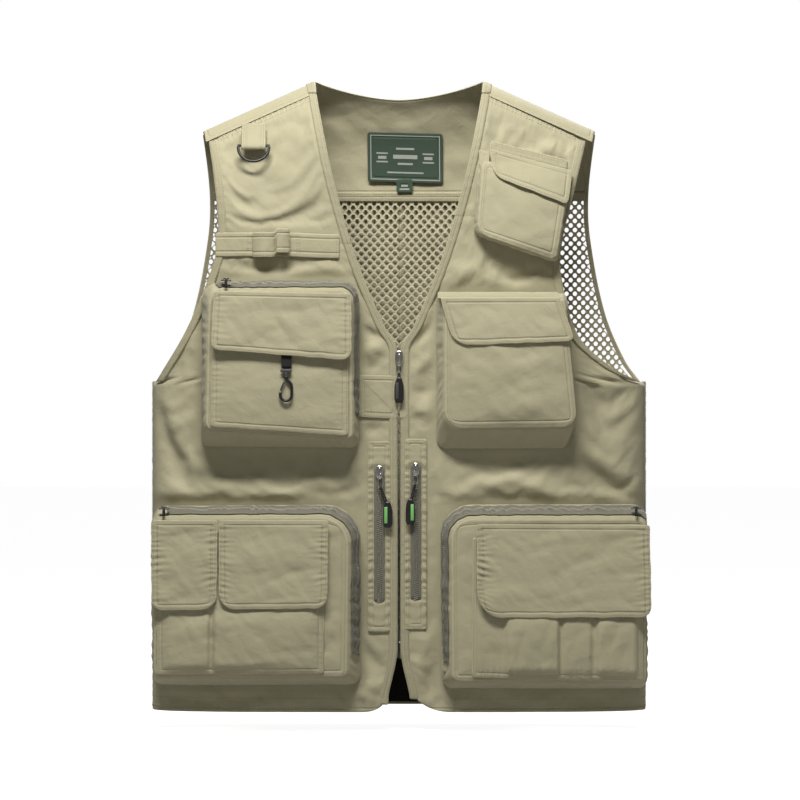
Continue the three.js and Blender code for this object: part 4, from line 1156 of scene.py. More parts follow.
for side, s in SIGN.items():
    body = "front_" + side
    z = np.linspace(-294, -622, 60)[:, None]
    w = np.linspace(1.0, 11.0, 5)[None]
    P = np.stack([s * w + 0 * z, -54.6 + 0 * (z + w), z + 0 * w], -1)
    place(cloth_grid("main_tape_" + side, P, tape, thickness=0.5, subdiv=0), body)
    path = np.stack([np.full(60, s * 2.6), np.full(60, -54.9), z[:, 0]], -1)
    teeth = zip_teeth(path, *upright(60), pitch=2.0, half=1.9, size=0.9)
    place(teeth.make("main_coil_" + side, coil), body, ["main_zip_chain_" + side])

# ---------------------------------------------------------------- box pockets
# Rings of a bag's wall, as shares of the way from its face down to its base.
WALL_T = np.array([0, 0.05, 0.12, 0.22, 0.32, 0.45, 0.6, 0.75, 0.88, 1.0])
ROLL_END, STEEP_END = 0.12, 0.32


def patch_size(corners):
    """The mean width and height of a four-sided outline."""
    c = np.array(corners, float)
    width = (np.linalg.norm(c[1] - c[0]) + np.linalg.norm(c[2] - c[3])) / 2
    height = (np.linalg.norm(c[3] - c[0]) + np.linalg.norm(c[2] - c[1])) / 2
    return width, height


def face_level(bag, x, z):
    """y of a bag's crowned face at (x, z)."""
    x0, x1, z0, z1 = bag["box"]
    u = np.clip((x - x0) / (x1 - x0), 0, 1) * 2 - 1
    v = np.clip((z - z0) / (z1 - z0), 0, 1) * 2 - 1
    dome = (1 - np.abs(u) ** 3) * (1 - np.abs(v) ** 3)
    sag = bag["sag"] * smooth((1 - (v + 1) / 2) * 1.3) * (1 - np.abs(u) ** 3)
    return bag["level"](x, z) - bag["crown"] * dome - sag * dome


def box_bag(
    name, node, body, face, face_radii, base, base_radii, depth, crown, sag, seed,
    level=None, low=9.0, roll=1.6, free=None,
):
    """A bag with a crowned front face and a gathered wall down to its sewn base."""
    face, base = np.array(face, float), np.array(base, float)
    width, height = patch_size(face)
    us, vs = patch_uv(width, height, 3.6)
    F = patch_points(face, face_radii, us, vs)
    B = patch_points(base, base_radii, us, vs)
    level = level or (lambda x, z: np.full(np.shape(x), -HALF_DEPTH - depth))
    bag = {
        "box": (face[:, 0].min(), face[:, 0].max(), face[:, 1].min(), face[:, 1].max()),
        "level": level, "crown": crown, "sag": sag, "body": body,
    }
    x, z = F[..., 0], F[..., 1]
    rim = edge_distance(us, vs, width, height)
    y = face_level(bag, x, z)
    wrinkles = 2.2 * folds(x, z, 20, 90, 26, seed) + 1.4 * folds(x, z, -45, 45, 13, seed + 3)
    y -= wrinkles * smooth(rim / 16) * (free(x, z) if free else 1.0)
    along = np.meshgrid(us * width, vs * height)
    y += 0.9 * pucker(rim - 2, along[0] + along[1], 7.5, 7.0, seed + 5)
    face_grid = np.stack([x, y, z], -1)
    loop_face, loop_base = perimeter(face_grid), perimeter(B)
    outward = loop_base - loop_base.mean(0)
    outward /= np.linalg.norm(outward, axis=1, keepdims=True)
    tangent = np.roll(loop_base, -1, 0) - np.roll(loop_base, 1, 0)
    side_out = np.stack([-tangent[:, 1], tangent[:, 0]], 1)
    side_out /= np.maximum(np.linalg.norm(side_out, axis=1, keepdims=True), 1e-9)
    side_out *= np.sign((side_out * outward).sum(1))[:, None]
    run = np.r_[0, np.cumsum(np.linalg.norm(np.diff(loop_base, axis=0), axis=1))]
    base_y = -depth_at(loop_base[:, 0], loop_base[:, 1]) - 0.8
    rings = []
    zip_y = loop_face[:, 1] + low
    for t in WALL_T[1:]:
        xz = loop_face[:, [0, 2]] * (1 - t) + loop_base * t
        if t <= STEEP_END:
            wall_y = loop_face[:, 1] + (zip_y - loop_face[:, 1]) * t / STEEP_END
        else:
            share = (t - STEEP_END) / (1 - STEEP_END)
            wall_y = zip_y * (1 - share) + base_y * share
        belly = math.sin(math.pi * t)
        puff = roll * math.sin(min(1, t / ROLL_END) * math.pi / 2) * (1 - t) + belly
        ripple = 1.5 * pucker(0, run, 13.0, 9, seed + 7) * belly
        ripple = ripple + 2.4 * noise(run / 30.0, t * 1.7, seed + 8) * belly
        if t < 1:
            xz = xz + side_out * (puff + ripple)[:, None]
        rings.append(np.stack([xz[:, 0], wall_y, xz[:, 1]], -1))
    verts = np.concatenate([face_grid.reshape(-1, 3), *rings])
    rows, cols = face_grid.shape[:2]
    number = np.arange(rows * cols).reshape(rows, cols)
    loop = perimeter(number)
    faces = grid_faces(rows, cols).tolist()
    count = len(loop)
    before = loop
    for k in range(len(rings)):
        after = rows * cols + k * count + np.arange(count)
        nxt, nxt_before = np.roll(after, -1), np.roll(before, -1)
        faces += np.stack([before, nxt_before, nxt, after], 1).tolist()
        before = after
    uv = [np.stack([x, z], -1).reshape(-1, 2)]
    edges = [rim.ravel()]
    for t in WALL_T[1:]:
        uv.append(loop_face[:, [0, 2]] + outward * t * (depth + 12))
        edges.append(np.full(count, min(60.0, 4 + 40 * t)))
    obj = new_object(name, verts, faces, cloth, np.concatenate(uv), np.concatenate(edges))
    finish_cloth(obj, 0.9)
    place(obj, body, [node])
    bag["rings"] = [loop_face, *rings]
    bag["side_out"] = side_out
    sew(body, face_grid, inset_route(width, height, 2.4))
    return bag


def ring_at(bag, t):
    """The ring round a bag's wall at share t of its depth."""
    k = np.searchsorted(WALL_T, t) - 1
    k = min(max(k, 0), len(WALL_T) - 2)
    share = (t - WALL_T[k]) / (WALL_T[k + 1] - WALL_T[k])
    return bag["rings"][k] * (1 - share) + bag["rings"][k + 1] * share


def bag_zip(name, bag, first, last, t0, t1):
    """A zip let into a bag's wall from first to last, as shares of the way round its border."""
    count = len(bag["rings"][0])
    picks = np.arange(int(first * count), int(last * count) + 1) % count
    levels = np.linspace(t0, t1, 7)
    grid = np.stack([ring_at(bag, t)[picks] for t in levels])
    N = normals(grid, (0, -1, 0))
    out = np.zeros_like(grid)
    out[..., [0, 2]] = bag["side_out"][picks][None]
    if ((N * out).sum(2)).mean() < 0:
        N = -N
    P = grid + N * 1.5
    down = np.linspace(0, 1, 7)[:, None] + 0 * P[..., 0]
    facing = tuple(N.reshape(-1, 3).mean(0))
    obj = cloth_grid(name + "_tape", P, tape, facing, 0.6, edge=np.minimum(down, 1 - down) * 9)
    place(obj, bag["body"], [name])
    teeth = zip_teeth(P[3] + N[3] * 0.15, P[4] - P[2], N[3])
    place(teeth.make(name + "_coil", coil), bag["body"])


chest = box_bag(
    "chest_bag_cloth", "chest_bag", "front_right",
    [(-202, -230), (-51, -229), (-50, -386), (-205, -375)], (16, 14, 5, 5),
    [(-212, -219), (-44, -218), (-43, -397), (-212, -396)], (20, 18, 8, 8),
    28, 2.2, 0.8, 201,
    free=lambda x, z: 1 - 0.8 * np.exp(-(((x + 120) / 26) ** 2)) * smooth((z + 352) / 20),
)
lower_right = box_bag(
    "lower_right_bag_cloth", "lower_right_bag", "front_right",
    [(-260, -472), (-54, -471), (-56, -639), (-260, -640)], (10, 30, 6, 6),
    [(-265, -459), (-41, -457), (-41, -650), (-264, -652)], (14, 38, 10, 8),
    30, 2.2, 1.5, 221,
)
box_bag(
    "mid_bag_cloth", "mid_bag", "front_left",
    [(49, -238), (176, -238), (190, -373), (49, -375)], (4, 4, 16, 20),
    [(40, -232), (180, -232), (182, -398), (40, -398)], (4, 4, 10, 10),
    24, 4.0, 3.0, 241,
)
lower_left = box_bag(
    "lower_left_bag_cloth", "lower_left_bag", "front_left",
    [(56, -473), (262, -472), (262, -645), (57, -644)], (22, 10, 6, 8),
    [(44, -457), (264, -457), (265, -656), (46, -654)], (34, 14, 8, 10),
    30, 2.2, 1.5, 261,
)


def small_level(x, z):
    t = np.clip((z + 92) / -90, 0, 1)
    return -depth_at(x, z) - 1.6 - (0.35 + 0.65 * t) * 15


small = box_bag(
    "small_bag_cloth", "small_bag", "chest_left",
    [(90, -90), (181, -113), (167, -196), (83, -167)], (5, 5, 7, 14),
    [(85, -88), (183, -109), (170, -199), (80, -169)], (4, 4, 6, 8),
    17, 3.0, 2.5, 281, small_level, 5.0, 1.2,
)

bag_zip("chest_zip", chest, 0.02, 0.46, 0.14, 0.86)
bag_zip("lower_right_zip", lower_right, 0.02, 0.47, 0.14, 0.80)
bag_zip("lower_left_zip", lower_left, 0.80, 1.28, 0.14, 0.80)


# ---------------------------------------------------------------- patches, flaps, straps
def cloth_patch(
    name, node, body, corners, radii, level, seed, gathers="lr", lift0=0.0, lift1=0.0, thickness=0.9,
    stitched=(2.2, 7.0), waves=1.0, cell=2.4, gather_size=2.3, extra=None, stitch_sides="blr",
):
    """A four-sided patch or flap laid over level(x, z), gathered along its sewn sides.

    It stands lift0 off the level at its top and lift1 at its bottom; extra adds to that."""
    width, height = patch_size(corners)
    us, vs = patch_uv(width, height, cell)
    XZ = patch_points(corners, radii, us, vs)
    U, V = np.meshgrid(us, vs)
    x = XZ[..., 0] + 0.7 * waves * noise(XZ[..., 1] / 9, 0.37 * seed) * (2 * U - 1) ** 3
    z = XZ[..., 1] + 1.1 * waves * noise(XZ[..., 0] / 15, 0.71 * seed) * V**2
    rim = edge_distance(us, vs, width, height)
    y = level(x, z) - lift0 - (lift1 - lift0) * V**1.4
    wrinkles = 1.7 * folds(x, z, 12, 90, 24, seed) + 1.1 * folds(x, z, -50, 40, 12, seed + 2)
    y -= waves * wrinkles * smooth(rim / 12)
    for key, d, run, length in (
        ("l", U * width, V * height, height),
        ("r", (1 - U) * width, V * height, height),
        ("b", (1 - V) * height, U * width, width),
        ("t", V * height, U * width, width),
    ):
        if key in gathers:
            ends = smooth(run / 12) * smooth((length - run) / 12)
            y += gather_size * pucker(d - 6, run, 5.8, 6.5, seed + ord(key)) * ends
    if extra is not None:
        y -= extra(x, z, U, V)
    P = np.stack([x, y, z], -1)
    place(cloth_grid(name, P, cloth, thickness=thickness, edge=rim), body, [node] if node else ())
    for inset in stitched:
        sew(body, P, inset_route(width, height, inset, stitch_sides))


def level_over(bag, lift):
    """y of a surface that lies lift off a bag's face."""
    return lambda x, z: face_level(bag, x, z) - lift


def level_at(y):
    return lambda x, z: np.full(x.shape, y)


# Chest pocket: patch pocket and flap on its face.
def chest_patch_bulge(x, z, U, V):
    return 0.9 * smooth((V - 0.32) / 0.3) * smooth(np.minimum(U, 1 - U) * 9) * smooth((1 - V) * 7)


def chest_flap_droop(x, z, U, V):
    return -2.6 * (np.abs(2 * U - 1) ** 3) * smooth(1 - V * 1.2)


cloth_patch(
    "chest_patch_cloth", "chest_patch", "front_right",
    [(-199, -246), (-54, -246), (-54, -384), (-201, -374)], (3, 3, 5, 4), level_over(chest, 1.3),
    lift0=0.2, lift1=0.6, seed=301, stitched=(2.0,), gather_size=0.7, waves=0.45,
    extra=chest_patch_bulge,
)
cloth_patch(
    "chest_flap_cloth", "chest_flap", "chest_flap",
    [(-197, -229.5), (-50.5, -232), (-50, -304), (-200, -292)], (3, 3, 13, 9), level_at(-95.6),
    lift0=-1.2, lift1=1.4, seed=311, gather_size=1.0, extra=chest_flap_droop,
)


# Lower pocket of the right front: a patch with two cells, parted by a sewn line, and two flaps.
def two_cells(x, z, U, V):
    opened = smooth((V - 0.42) / 0.25) * (0.25 + 0.75 * smooth((1 - V) * 12))
    parting = np.exp(-((x + 198 + 2 * V) / 2.3) ** 2)
    return opened * (4.4 * smooth(np.minimum(U, 1 - U) * 11) - 6.4 * parting)


cloth_patch(
    "lower_right_patch_cloth", "lower_right_patch", "front_right",
    [(-258, -486), (-79, -486), (-80, -637), (-258, -638)], (3, 3, 4, 4),
    level_over(lower_right, 1.4), lift0=0.2, lift1=0.8, seed=321, stitched=(2.0,), gather_size=0.7,
    extra=two_cells,
)
for size, outline, radii, seed in (
    ("small", [(-263, -473), (-192.6, -473), (-193.5, -568), (-263, -569)], (3, 2, 16, 12), 331),
    ("large", [(-191.6, -473), (-75, -473), (-76, -567), (-191.4, -568)], (2, 3, 14, 18), 341),
):
    flap = "lower_right_flap_" + size
    cloth_patch(
        flap + "_cloth", flap, flap, outline, radii, level_at(-97.0), lift0=-1.4, lift1=1.2, seed=seed
    )

# Lower pocket of the left front: a patch with pleats that form three tubes.
PLEAT_HEIGHTS = np.array(
    [(78, 0), (84, 1.6), (112, 1.4), (116, 5.8), (122, 6.2), (160, 6.0), (168.6, 5.2), (170, 0.6)]
    + [(173, 0.8), (174.5, 3.6), (203, 3.8), (206, 1.2), (209, 1.2), (212, 5.8), (250, 5.6)]
    + [(257, 0.8), (262, 0.4)]
)


def pleats(x, z, U, V):
    d = np.interp(x, PLEAT_HEIGHTS[:, 0], PLEAT_HEIGHTS[:, 1])
    tucked = smooth((V - 0.40) / 0.22) * (0.3 + 0.7 * smooth((1 - V) * 12))
    slack = 1.3 * folds(x, z, 80, 60, 14, 351) * smooth(d / 4)
    return (1.15 * d + slack) * tucked


cloth_patch(
    "lower_left_pleats_cloth", "lower_left_pleats", "front_left",
    [(78, -492), (259, -492), (260, -645), (77, -641)], (2, 2, 4, 4), level_over(lower_left, 1.2),
    lift0=0.2, lift1=0.4, seed=361, cell=2.6, gathers="b", stitched=(2.0,), waves=0.5, extra=pleats,
)
cloth_patch(
    "lower_left_flap_cloth", "lower_left_flap", "lower_left_flap",
    [(82, -477), (266, -478), (268, -576), (83, -577)], (3, 3, 12, 28), level_at(-98.9),
    lift0=-1.6, lift1=1.4, seed=371,
)
# Mid pocket's flap and the sewn band above it.
cloth_patch(
    "mid_flap_cloth", "mid_flap", "mid_flap",
    [(43.5, -236.5), (171, -236.5), (188, -283), (58, -288)], (2, 2, 9, 16), level_at(-85.0),
    lift0=-1.0, lift1=2.2, seed=381, gathers="l", gather_size=0.5,
    extra=lambda x, z, U, V: 2.6 * (1 - np.abs(2 * U - 1) ** 2.5) * smooth(V * 1.4),
)
cloth_patch(
    "mid_band", None, "front_left", [(41, -229.5), (171, -229.5), (172, -237), (41, -237)],
    (1, 1, 1, 1), lambda x, z: -HALF_DEPTH - 1.5 - 23.0 * smooth((-230 - z) / 7), seed=391, gathers="",
    stitched=(1.6,), waves=0.1, stitch_sides="tblr", thickness=0.8,
)
# Small upper pocket's flap, band and side loop.
cloth_patch(
    "small_flap_cloth", "small_flap", "small_flap",
    [(97, -76.5), (186, -99.5), (181, -137.5), (101, -106)], (2, 2, 7, 12),
    lambda x, z: np.minimum(face_level(small, x, z), -depth_at(x, z) - 7.0) - 2.2,
    lift0=-2.0, lift1=1.6, seed=401, gathers="r", gather_size=0.5, waves=0.7,
)
cloth_patch(
    "small_band", None, "chest_left", [(98, -67.5), (181, -87.5), (180, -99), (97, -78.5)],
    (1, 1, 1, 1), lambda x, z: -depth_at(x, z) - 2.0, seed=411, gathers="tb", gather_size=0.35,
    stitched=(1.8,), waves=0.15, stitch_sides="tblr",
)
cloth_patch(
    "small_loop", None, "chest_left", [(85.5, -77), (97, -80), (96.5, -101), (86, -96)], (1, 1, 2, 3),
    lambda x, z: -depth_at(x, z) - 3.0 - 2.2 * smooth((-z - 80) / 14), seed=421, gathers="",
    stitched=(1.8,), waves=0.3, stitch_sides="bl",
)
# Closure tab across the zip, and its fixed half on the other front.
cloth_patch(
    "closure_tab_cloth", "closure_tab", "front_right",
    [(-43, -318.5), (-0.9, -319.5), (-0.9, -366), (-43, -364)], (1, 1, 1, 1), level_at(-59.7),
    seed=431, gathers="lb", gather_size=0.45, stitched=(2.0, 5.0), waves=0.35, thickness=0.8,
    stitch_sides="tb",
)
cloth_patch(
    "closure_tab_mate", None, "front_left", [(0.9, -319.5), (9, -320), (9, -366), (0.9, -366)],
    (1, 4, 4, 1), level_at(-59.7), seed=433, gathers="", stitched=(2.0,), waves=0.2, thickness=0.8,
    cell=2.2, stitch_sides="tb",
)

# Welts of the hand pockets with their zips.
# The zip's x and its top, then the welt's x from and to.
HAND = {"right": (-21.0, -415.0, -33.5, -9.5), "left": (18.0, -412.0, 6.0, 29.5)}
for side in ("right", "left"):
    x, top, x0, x1 = HAND[side]
    body = "front_" + side
    z0 = top + 25

    def channel(px, pz, U, V, x=x, top=top):
        inside = np.exp(-(((px - x) / 6.6) ** 6)) * smooth((top + 1 - pz) / 5)
        inside = inside * smooth((pz - top + 150) / 5)
        tucks = 1.2 * pucker(np.abs(px - x) - 9, pz, 8.0, 4.5, 441) * (1 - inside)
        return 1.1 - 1.5 * inside + tucks

    cloth_patch(
        "hand_welt_" + side, None, body, box_corners(x0, x1, z0 - 204, z0), (2, 2, 2, 2),
        level_at(-58.9), seed=443, gathers="", stitched=(1.6,), waves=0.15, cell=2.0,
        extra=channel, stitch_sides="tblr", thickness=0.7,
    )
    straight_zip("hand_zip_" + side, x, top, top - 149, -59.2, 12.0, body)

# D-ring and the tab that holds it.
ring_x, ring_y, ring_z = -156.0, -51.41, -72.75
tab_front = [(-42.5, -48), (-45.8, -56), (-49.6, -64), (-53.2, -70.4), (-54.6, -74.0), (-53.6, -76.9)]
tab_back = [(-51.2, -77.0), (-49.4, -74.6), (-48.0, -70.5), (-45.0, -64.0), (-41.8, -57)]
path = spline([(0, y, z) for y, z in tab_front + tab_back], 44)
TAB_HALF = 13.2
w = np.linspace(-TAB_HALF, TAB_HALF, 9)[None]
taper = 1 - 0.03 * np.cos(np.linspace(0, np.pi, 44))[:, None]
y = path[:, 1][:, None] + 0.35 * np.cos(w / 4)
P = np.stack([ring_x + w * taper, y, path[:, 2][:, None] + 0 * w], -1)
d = np.broadcast_to(TAB_HALF - np.abs(w), P.shape[:2])
obj = cloth_grid("d_ring_tab_cloth", P, cloth, (0, -1, 0), 0.9, edge=d, uv_turn=True)
place(obj, "chest_right", ["d_ring_tab"])
for u in (0.09, 0.91):
    sew("chest_right", P[:20], [(u, 0), (u, 1)])
bend = [(ring_x + 16.6 * math.cos(a), ring_z - 2 - 15.2 * math.sin(a)) for a in np.linspace(0, np.pi, 25)]
loop = [(px, ring_y - 0.30 * (ring_z - pz), pz) for px, pz in bend]
loop += [(px, ring_y, ring_z) for px in np.linspace(ring_x - 16.2, ring_x + 16.2, 12)]
ring = Parts()
ring.add(*tube(loop, 1.55, 12, closed=True))
place(ring.make("d_ring_bar", black), "d_ring", ["d_ring"])

# Rod strap: a band sewn flat, and a loop over it that folds into a grip.
x = np.linspace(-197, -64, 46)[None]
z = np.linspace(-167.5, -193.5, 9)[:, None]
bump = 0.9 * folds(x + 0 * z, z + 0 * x, 70, 30, 10, 451)
bump = bump + 0.8 * pucker(x + 107, z, 6, 8, 453) + 0.7 * pucker(x + 161, z, 6, 7, 455)
P = on_front(x + 0 * z, z - 2.0 * smooth((x + 130) / 60) + 1.5, 2.2 + bump)
d = np.broadcast_to(np.minimum(np.linspace(0, 26, 9), np.linspace(26, 0, 9))[:, None], P.shape[:2])
obj = cloth_grid("rod_strap_band", P, cloth, thickness=0.9, edge=d)
place(obj, "chest_right", ["rod_strap_base"])
for u in (0.265, 0.29, 0.66, 0.68, 0.975):
    sew("chest_right", P, [(u, 0.04), (u, 0.96)])
t = np.linspace(0, 1, 30)
arch = [(-157 + 27 * q, 4.0 + 6.4 * math.sin(math.pi * min(1, q * 1.05)) ** 0.8) for q in t]
fold_over = [(-128.5, 5.2), (-126.0, 7.4), (-128.0, 10.2), (-130.6, 12.6)]
fold_over += [(-129.6, 13.4), (-125.0, 12.4), (-119.5, 9.6), (-116.6, 6.6)]
route = spline([(a, b, 0) for a, b in arch[::3] + fold_over], 64)
v = np.linspace(0, 1, 9)[:, None]
sx = route[:, 0][None]
rise = route[:, 1][None]
tall = smooth((sx + 134) / 4)
z = -166.0 + 4.0 * tall - (27.0 - 0.5 * tall) * v
P = on_front(sx + 0 * v, z, rise + 0.7 * folds(sx + 0 * v, z, 60, 30, 9, 461))
d = np.broadcast_to(np.minimum(v, 1 - v) * 27, P.shape[:2])
obj = cloth_grid("rod_strap_loop", P, cloth, thickness=0.8, edge=d)
place(obj, "rod_strap", ["rod_strap"])
for v_line in (0.08, 0.92):
    sew("rod_strap", P, [(0.02, v_line), (0.6, v_line)])

# Folded ends of the pocket zips.
for name, body, (x0, x1, z0, z1) in (
    ("zip_end_chest", "front_right", (-56, -43, -372, -356)),
    ("zip_end_lower_right", "front_right", (-62, -43, -642, -618)),
    ("zip_end_lower_left", "front_left", (45, 60, -636, -608)),
):
    start = x0 if body == "front_right" else x1
    cloth_patch(
        name, None, body, box_corners(x0, x1, z0, z1), (1, 1, 3, 3),
        lambda px, pz: -HALF_DEPTH - 30 + 1.6 + 1.35 * np.abs(px - start) - 2.0,
        seed=471, gathers="b", stitched=(1.6,), waves=0.4, thickness=0.8, stitch_sides="t",
    )

# Webbing and the snap hook that hangs from it.
us, vs = patch_uv(11, 49, 2.2)
XZ = patch_points([(-125, -262), (-114, -262), (-114, -311.5), (-125, -311.5)], (0.5,) * 4, us, vs)
P = np.stack([XZ[..., 0], np.full(XZ.shape[:2], -94.2), XZ[..., 1]], -1)
webbing = cloth_grid("hook_webbing_cloth", P, pull_cord, thickness=1.1, subdiv=0)
place(webbing, "front_right", ["hook_webbing"])
swivel = Parts()
swivel.add(*rounded_box((-126, -96.2, -316.2), (-114, -92.8, -312.9), 1.2, 3))
swivel.add(*tube([(-120, -94.5, z) for z in np.linspace(-316, -319.4, 5)], [2.6, 2.5, 2.1, 2.3, 2.4], 14))
place(swivel.make("hook_swivel_body", grip_grey), "snap_hook", ["hook_swivel"])
hook = Parts()
bend = [(-120 + 6 * math.cos(a), -340.5 - 6 * math.sin(a)) for a in np.linspace(0, np.pi, 15)]
outline = [(-120, -320.1), (-119.4, -323.5), (-115.3, -327.6), (-114, -331.5), *bend, (-126, -337.5)]
hook.add(*tube(spline([(a, -94.5, b) for a, b in outline], 60), 1.55, 14))
hook.add(*tube([(-120, -94.5, -320.0), (-120, -94.5, -321.6), (-120, -94.5, -323.0)], [2.5, 2.7, 1.6], 14))
place(hook.make("snap_hook_body", black), "snap_hook", ["snap_hook"])
gate = Parts()
gate_path = [(-125.6, -94.5, -335.7), (-124, -94.5, -331.0), (-121.8, -94.5, -326.5)]
gate.add(*tube(spline(gate_path, 14), 1.05, 12))
place(gate.make("hook_gate_bar", grip_grey), "hook_gate", ["hook_gate"])


# ---------------------------------------------------------------- sliders and pulls
def slider_parts(x, y, z, width, length):
    """A zip slider: a waisted cover plate and the bail arched over it; y is the back of the plate."""
    parts = Parts()
    outline = []
    for turn in np.linspace(0, 2 * np.pi, 36, endpoint=False):
        c, s = math.cos(turn), math.sin(turn)
        waist = 1 - 0.22 * max(0.0, -s) - 0.10 * math.cos(2 * turn)
        px = x + width / 2 * waist * np.sign(c) * abs(c) ** 0.7
        outline.append((px, z + length / 2 * np.sign(s) * abs(s) ** 0.75))
    rings = []
    for inset, dy in ((0.35, 0.0), (0.0, -0.35), (0.0, -0.95), (0.4, -1.4), (1.6, -1.55)):
        narrow, short = 1 - 2 * inset / width, 1 - 2 * inset / length
        rings.append([((px - x) * narrow + x, y + dy, (pz - z) * short + z) for px, pz in outline])
    parts.add(*loft(rings))
    bail = [(-1.0, 5.2), (-3.2, 4.4), (-3.7, 1.0), (-3.8, -3.2), (-3.0, -5.0), (-1.2, -5.6)]
    parts.add(*tube(spline([(x, y + dy, z + dz) for dy, dz in bail], 22), 0.85, 10))
    return parts


def pull_parts(name, x, y, z, lean, cord, grip, insert_x, insert):
    """A pull: a wire loop through the bail, two runs of cord, and a moulded grip with an inlay."""
    loop = []
    for turn in np.linspace(0, 2 * np.pi, 30, endpoint=False):
        c, s = math.cos(turn), math.sin(turn)
        loop.append((x + lean * 0.12 + (2.4 + 1.3 * (s < 0) * -s) * c, y, z - 6.0 + 7.4 * s))
    wire = Parts()
    wire.add(*tube(loop, 0.62, 8, closed=True))
    place(wire.make(name + "_loop", steel), name)
    strings = Parts()
    foot, cord_top = z - cord, z - 12.5
    for off in (-1.0, 1.0):
        run = [
            (x + lean * 0.12 + off * 0.6, y, cord_top),
            (x + lean * 0.5 + off, y - 0.1, (cord_top + foot) / 2),
            (x + lean + off * 0.9, y, foot - 2),
        ]
        strings.add(*tube(spline(run, 16), 0.85, 8))
    place(strings.make(name + "_cord", pull_cord), name)
    half = 5.0
    right_side = [(2.2, 2.6), (half - 0.9, -2.6), (half, -7), (half, -grip + 4), (half - 1.6, -grip)]
    outline = [(-2.2, 2.6)] + right_side + [(-px, pz) for px, pz in right_side[:0:-1]]
    rings = []
    for inset, dy in ((0.7, 1.25), (0.0, 0.7), (0.0, -0.6), (0.8, -1.25)):
        narrow, short = 1 - inset / half, 1 - inset / (grip / 2)
        centre = (x + lean, foot - grip / 2)
        rings.append(
            [(centre[0] + px * narrow, y + dy, centre[1] + (pz + grip / 2) * short) for px, pz in outline]
        )
    moulding = Parts()
    moulding.add(*loft(rings))
    obj = moulding.make(name + "_grip", black)
    obj.data.polygons.foreach_set("use_smooth", [False] * len(obj.data.polygons))
    bevel = obj.modifiers.new("soft_edges", "BEVEL")
    bevel.width, bevel.segments = 0.0004, 2
    place(obj, name, [name])
    inlay = Parts()
    cx = x + lean + insert_x
    low, high = (cx - 1.7, y - 1.75, foot - grip + 4.5), (cx + 1.7, y - 0.9, foot - 3.0)
    inlay.add(*rounded_box(low, high, 0.6, 2))
    place(inlay.make(name + "_inlay", insert), name)


main_slider = slider_parts(0, -61.0, -301, 9.6, 16.5)
main_slider.add(*rounded_box((-0.5, -61.0, -307), (0.5, -52.0, -295), 0.2, 1))
place(main_slider.make("main_slider_body", steel), "main_slider", ["main_slider"])
INLAY_X = 2.1
pull_parts("main_pull", 0, -64.04, -304, 0, 20, 25, -INLAY_X, grip_grey)
for side, lean in (("right", 9.0), ("left", -6.0)):
    x, top, _, _ = HAND[side]
    parts = slider_parts(x, -61.7, top - 8, 8.0, 14.5)
    place(parts.make("hand_slider_body_" + side, steel), "hand_slider_" + side, ["hand_slider_" + side])
    inlay_x = SIGN[side] * INLAY_X
    pull_parts("hand_pull_" + side, x, -64.74, top - 11, lean, 31, 25, inlay_x, lime)
for name, x, y, z in (
    ("chest_slider", -184, -82, -219),
    ("lower_right_slider", -250, -84, -462),
    ("lower_left_slider", 252, -84, -462),
):
    parts = Parts()
    parts.add(*rounded_box((x - 5.6, y - 4.6, z), (x + 5.6, y + 2.6, z + 1.6), 0.7, 2))
    bail = [(x - 3, y, z + 1.0), (x - 2, y - 1, z + 2.6), (x + 2, y - 1, z + 2.6), (x + 3, y, z + 1.0)]
    parts.add(*tube(spline(bail, 12), 0.7, 8))
    place(parts.make(name + "_body", gunmetal), name, [name])
    cord = Parts()
    for off in (-0.7, 0.7):
        fall = [(x + off, y - 4.2, z + 1.8), (x + off, y - 6.0, z - 1.5), (x + off * 1.2, y - 6.4, z - 7.2)]
        cord.add(*tube(spline(fall, 12), 0.75, 8))
    place(cord.make(name + "_cord", pull_cord), name)

# Hidden cloth: the bags of the hand pockets behind each front.
for side, s in SIGN.items():
    us, vs = patch_uv(136, 226, 7.0)
    XZ = patch_points(box_corners(s * 14, s * 150, -634, -408), (4, 4, 20, 20), us, vs)
    x, z = XZ[..., 0], XZ[..., 1]
    rim = edge_distance(us, vs, 136, 226)
    free = smooth(rim / 20)
    P = on_front(x, z, -10.5 - 1.2 * free - 0.8 * folds(x, z, 10, 80, 30, 481) * free)
    obj = cloth_grid("inner_pocket_cloth_" + side, P, near_black, (0, 1, 0), 0.8, edge=rim)
    place(obj, "front_" + side, ["inner_pocket_" + side])

# ---------------------------------------------------------------- stitches and cloth areas
for where, parts in stitches.items():
    name = "stitches_" + (where if isinstance(where, str) else "_".join(where))
    place(parts.make(name, thread), where)

# Each front piece's height and cloth area, and the yoke's area; a front narrows towards the neck. Nothing
# here uses them.
for side in ("right", "left"):
    for part, support in (("upper_", "yoke_cloth"), ("lower_", "front_cloth_upper_" + side)):
        obj = bpy.data.objects["front_cloth_" + part + side]
        heights = [v.co.z for v in obj.data.vertices]
        tall = float(max(heights) - min(heights))
        area = face_area(obj)
YOKE_FLAT = (0.44, 0.19)
yoke_area = min(YOKE_FLAT[0] * YOKE_FLAT[1], face_area(yoke_cloth))

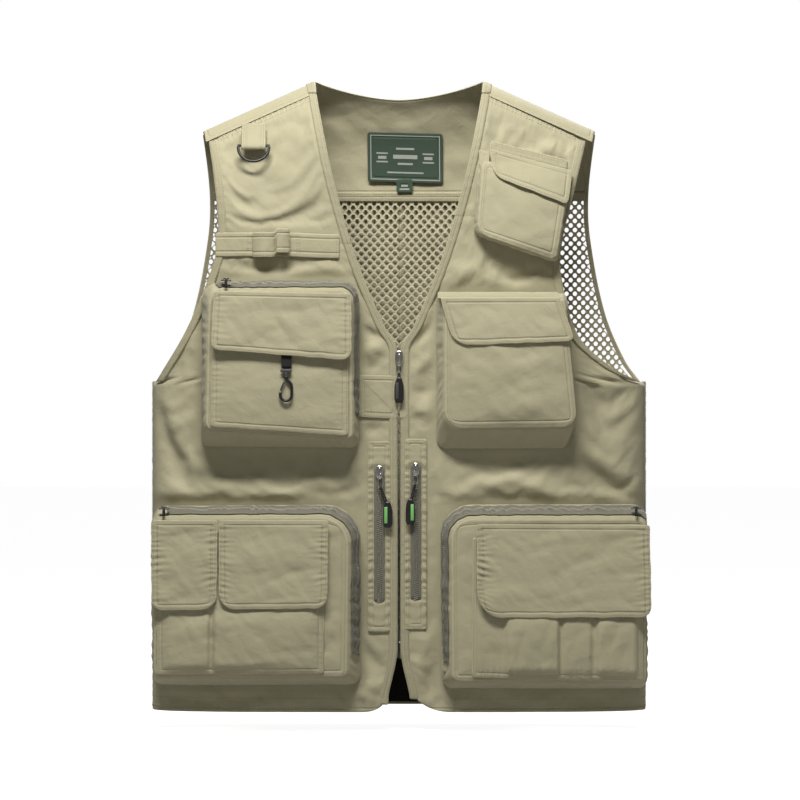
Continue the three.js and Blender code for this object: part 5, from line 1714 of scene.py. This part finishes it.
# ---------------------------------------------------------------- floor, light and camera
scene = bpy.context.scene
mesh = bpy.data.meshes.new("floor")
FLOOR_HALF, FLOOR_Z = 12.0, -0.70
square = [(-1, -1), (1, -1), (1, 1), (-1, 1)]
mesh.from_pydata([(sx * FLOOR_HALF, sy * FLOOR_HALF, FLOOR_Z) for sx, sy in square], [], [(0, 1, 2, 3)])
floor_material, tree, shader = nodes_of("floor")
shader.inputs["Base Color"].default_value = (0.42, 0.42, 0.42, 1)
shader.inputs["Roughness"].default_value = 0.9
shader.inputs["Emission Color"].default_value = (1, 1, 1, 1)
seen = add_node(tree, "ShaderNodeLightPath")
glow = math_node(tree, "MULTIPLY", seen.outputs["Is Camera Ray"], 0.93)
tree.links.new(glow, shader.inputs["Emission Strength"])
mesh.materials.append(floor_material)
floor = bpy.data.objects.new("floor", mesh)
scene.collection.objects.link(floor)

world = bpy.data.worlds.new("studio")
scene.world = world
world.use_nodes = True
background = world.node_tree.nodes["Background"]
background.inputs["Color"].default_value = (1.0, 1.0, 1.0, 1)
AMBIENT = 0.11
seen = add_node(world.node_tree, "ShaderNodeLightPath")
strength = math_node(world.node_tree, "MULTIPLY_ADD", seen.outputs["Is Camera Ray"], 1.0 - AMBIENT, AMBIENT)
world.node_tree.links.new(strength, background.inputs["Strength"])


LIGHT_POWER, LIGHT_COLOR = 34, (1.0, 0.99, 0.97)


def area_light(name, location, target, size):
    data = bpy.data.lights.new(name, "AREA")
    data.shape = "RECTANGLE"
    data.size, data.size_y = size
    data.energy = LIGHT_POWER
    data.color = LIGHT_COLOR
    light = bpy.data.objects.new(name, data)
    light.location = location
    light.rotation_euler = (Vector(target) - Vector(location)).to_track_quat("-Z", "Y").to_euler()
    scene.collection.objects.link(light)


area_light("key", (-0.16, -0.86, 0.98), (0, 0, -0.24), (0.8, 0.28))
area_light("back", (0.4, 1.5, 1.1), (0, 0, -0.34), (1.2, 0.6))
scene.view_settings.view_transform = "Standard"
scene.view_settings.exposure = 0.0

camera_data = bpy.data.cameras.new("camera")
camera_data.lens = 180
camera_data.sensor_width = 36
camera = bpy.data.objects.new("camera", camera_data)
VIEW_WIDTH = 0.856
distance = camera_data.lens / camera_data.sensor_width * VIEW_WIDTH
camera.location = (0.001, -0.06 - distance, -0.3456)
camera.rotation_euler = (math.radians(90), 0, 0)
camera_data.clip_end = 60
scene.collection.objects.link(camera)
scene.camera = camera
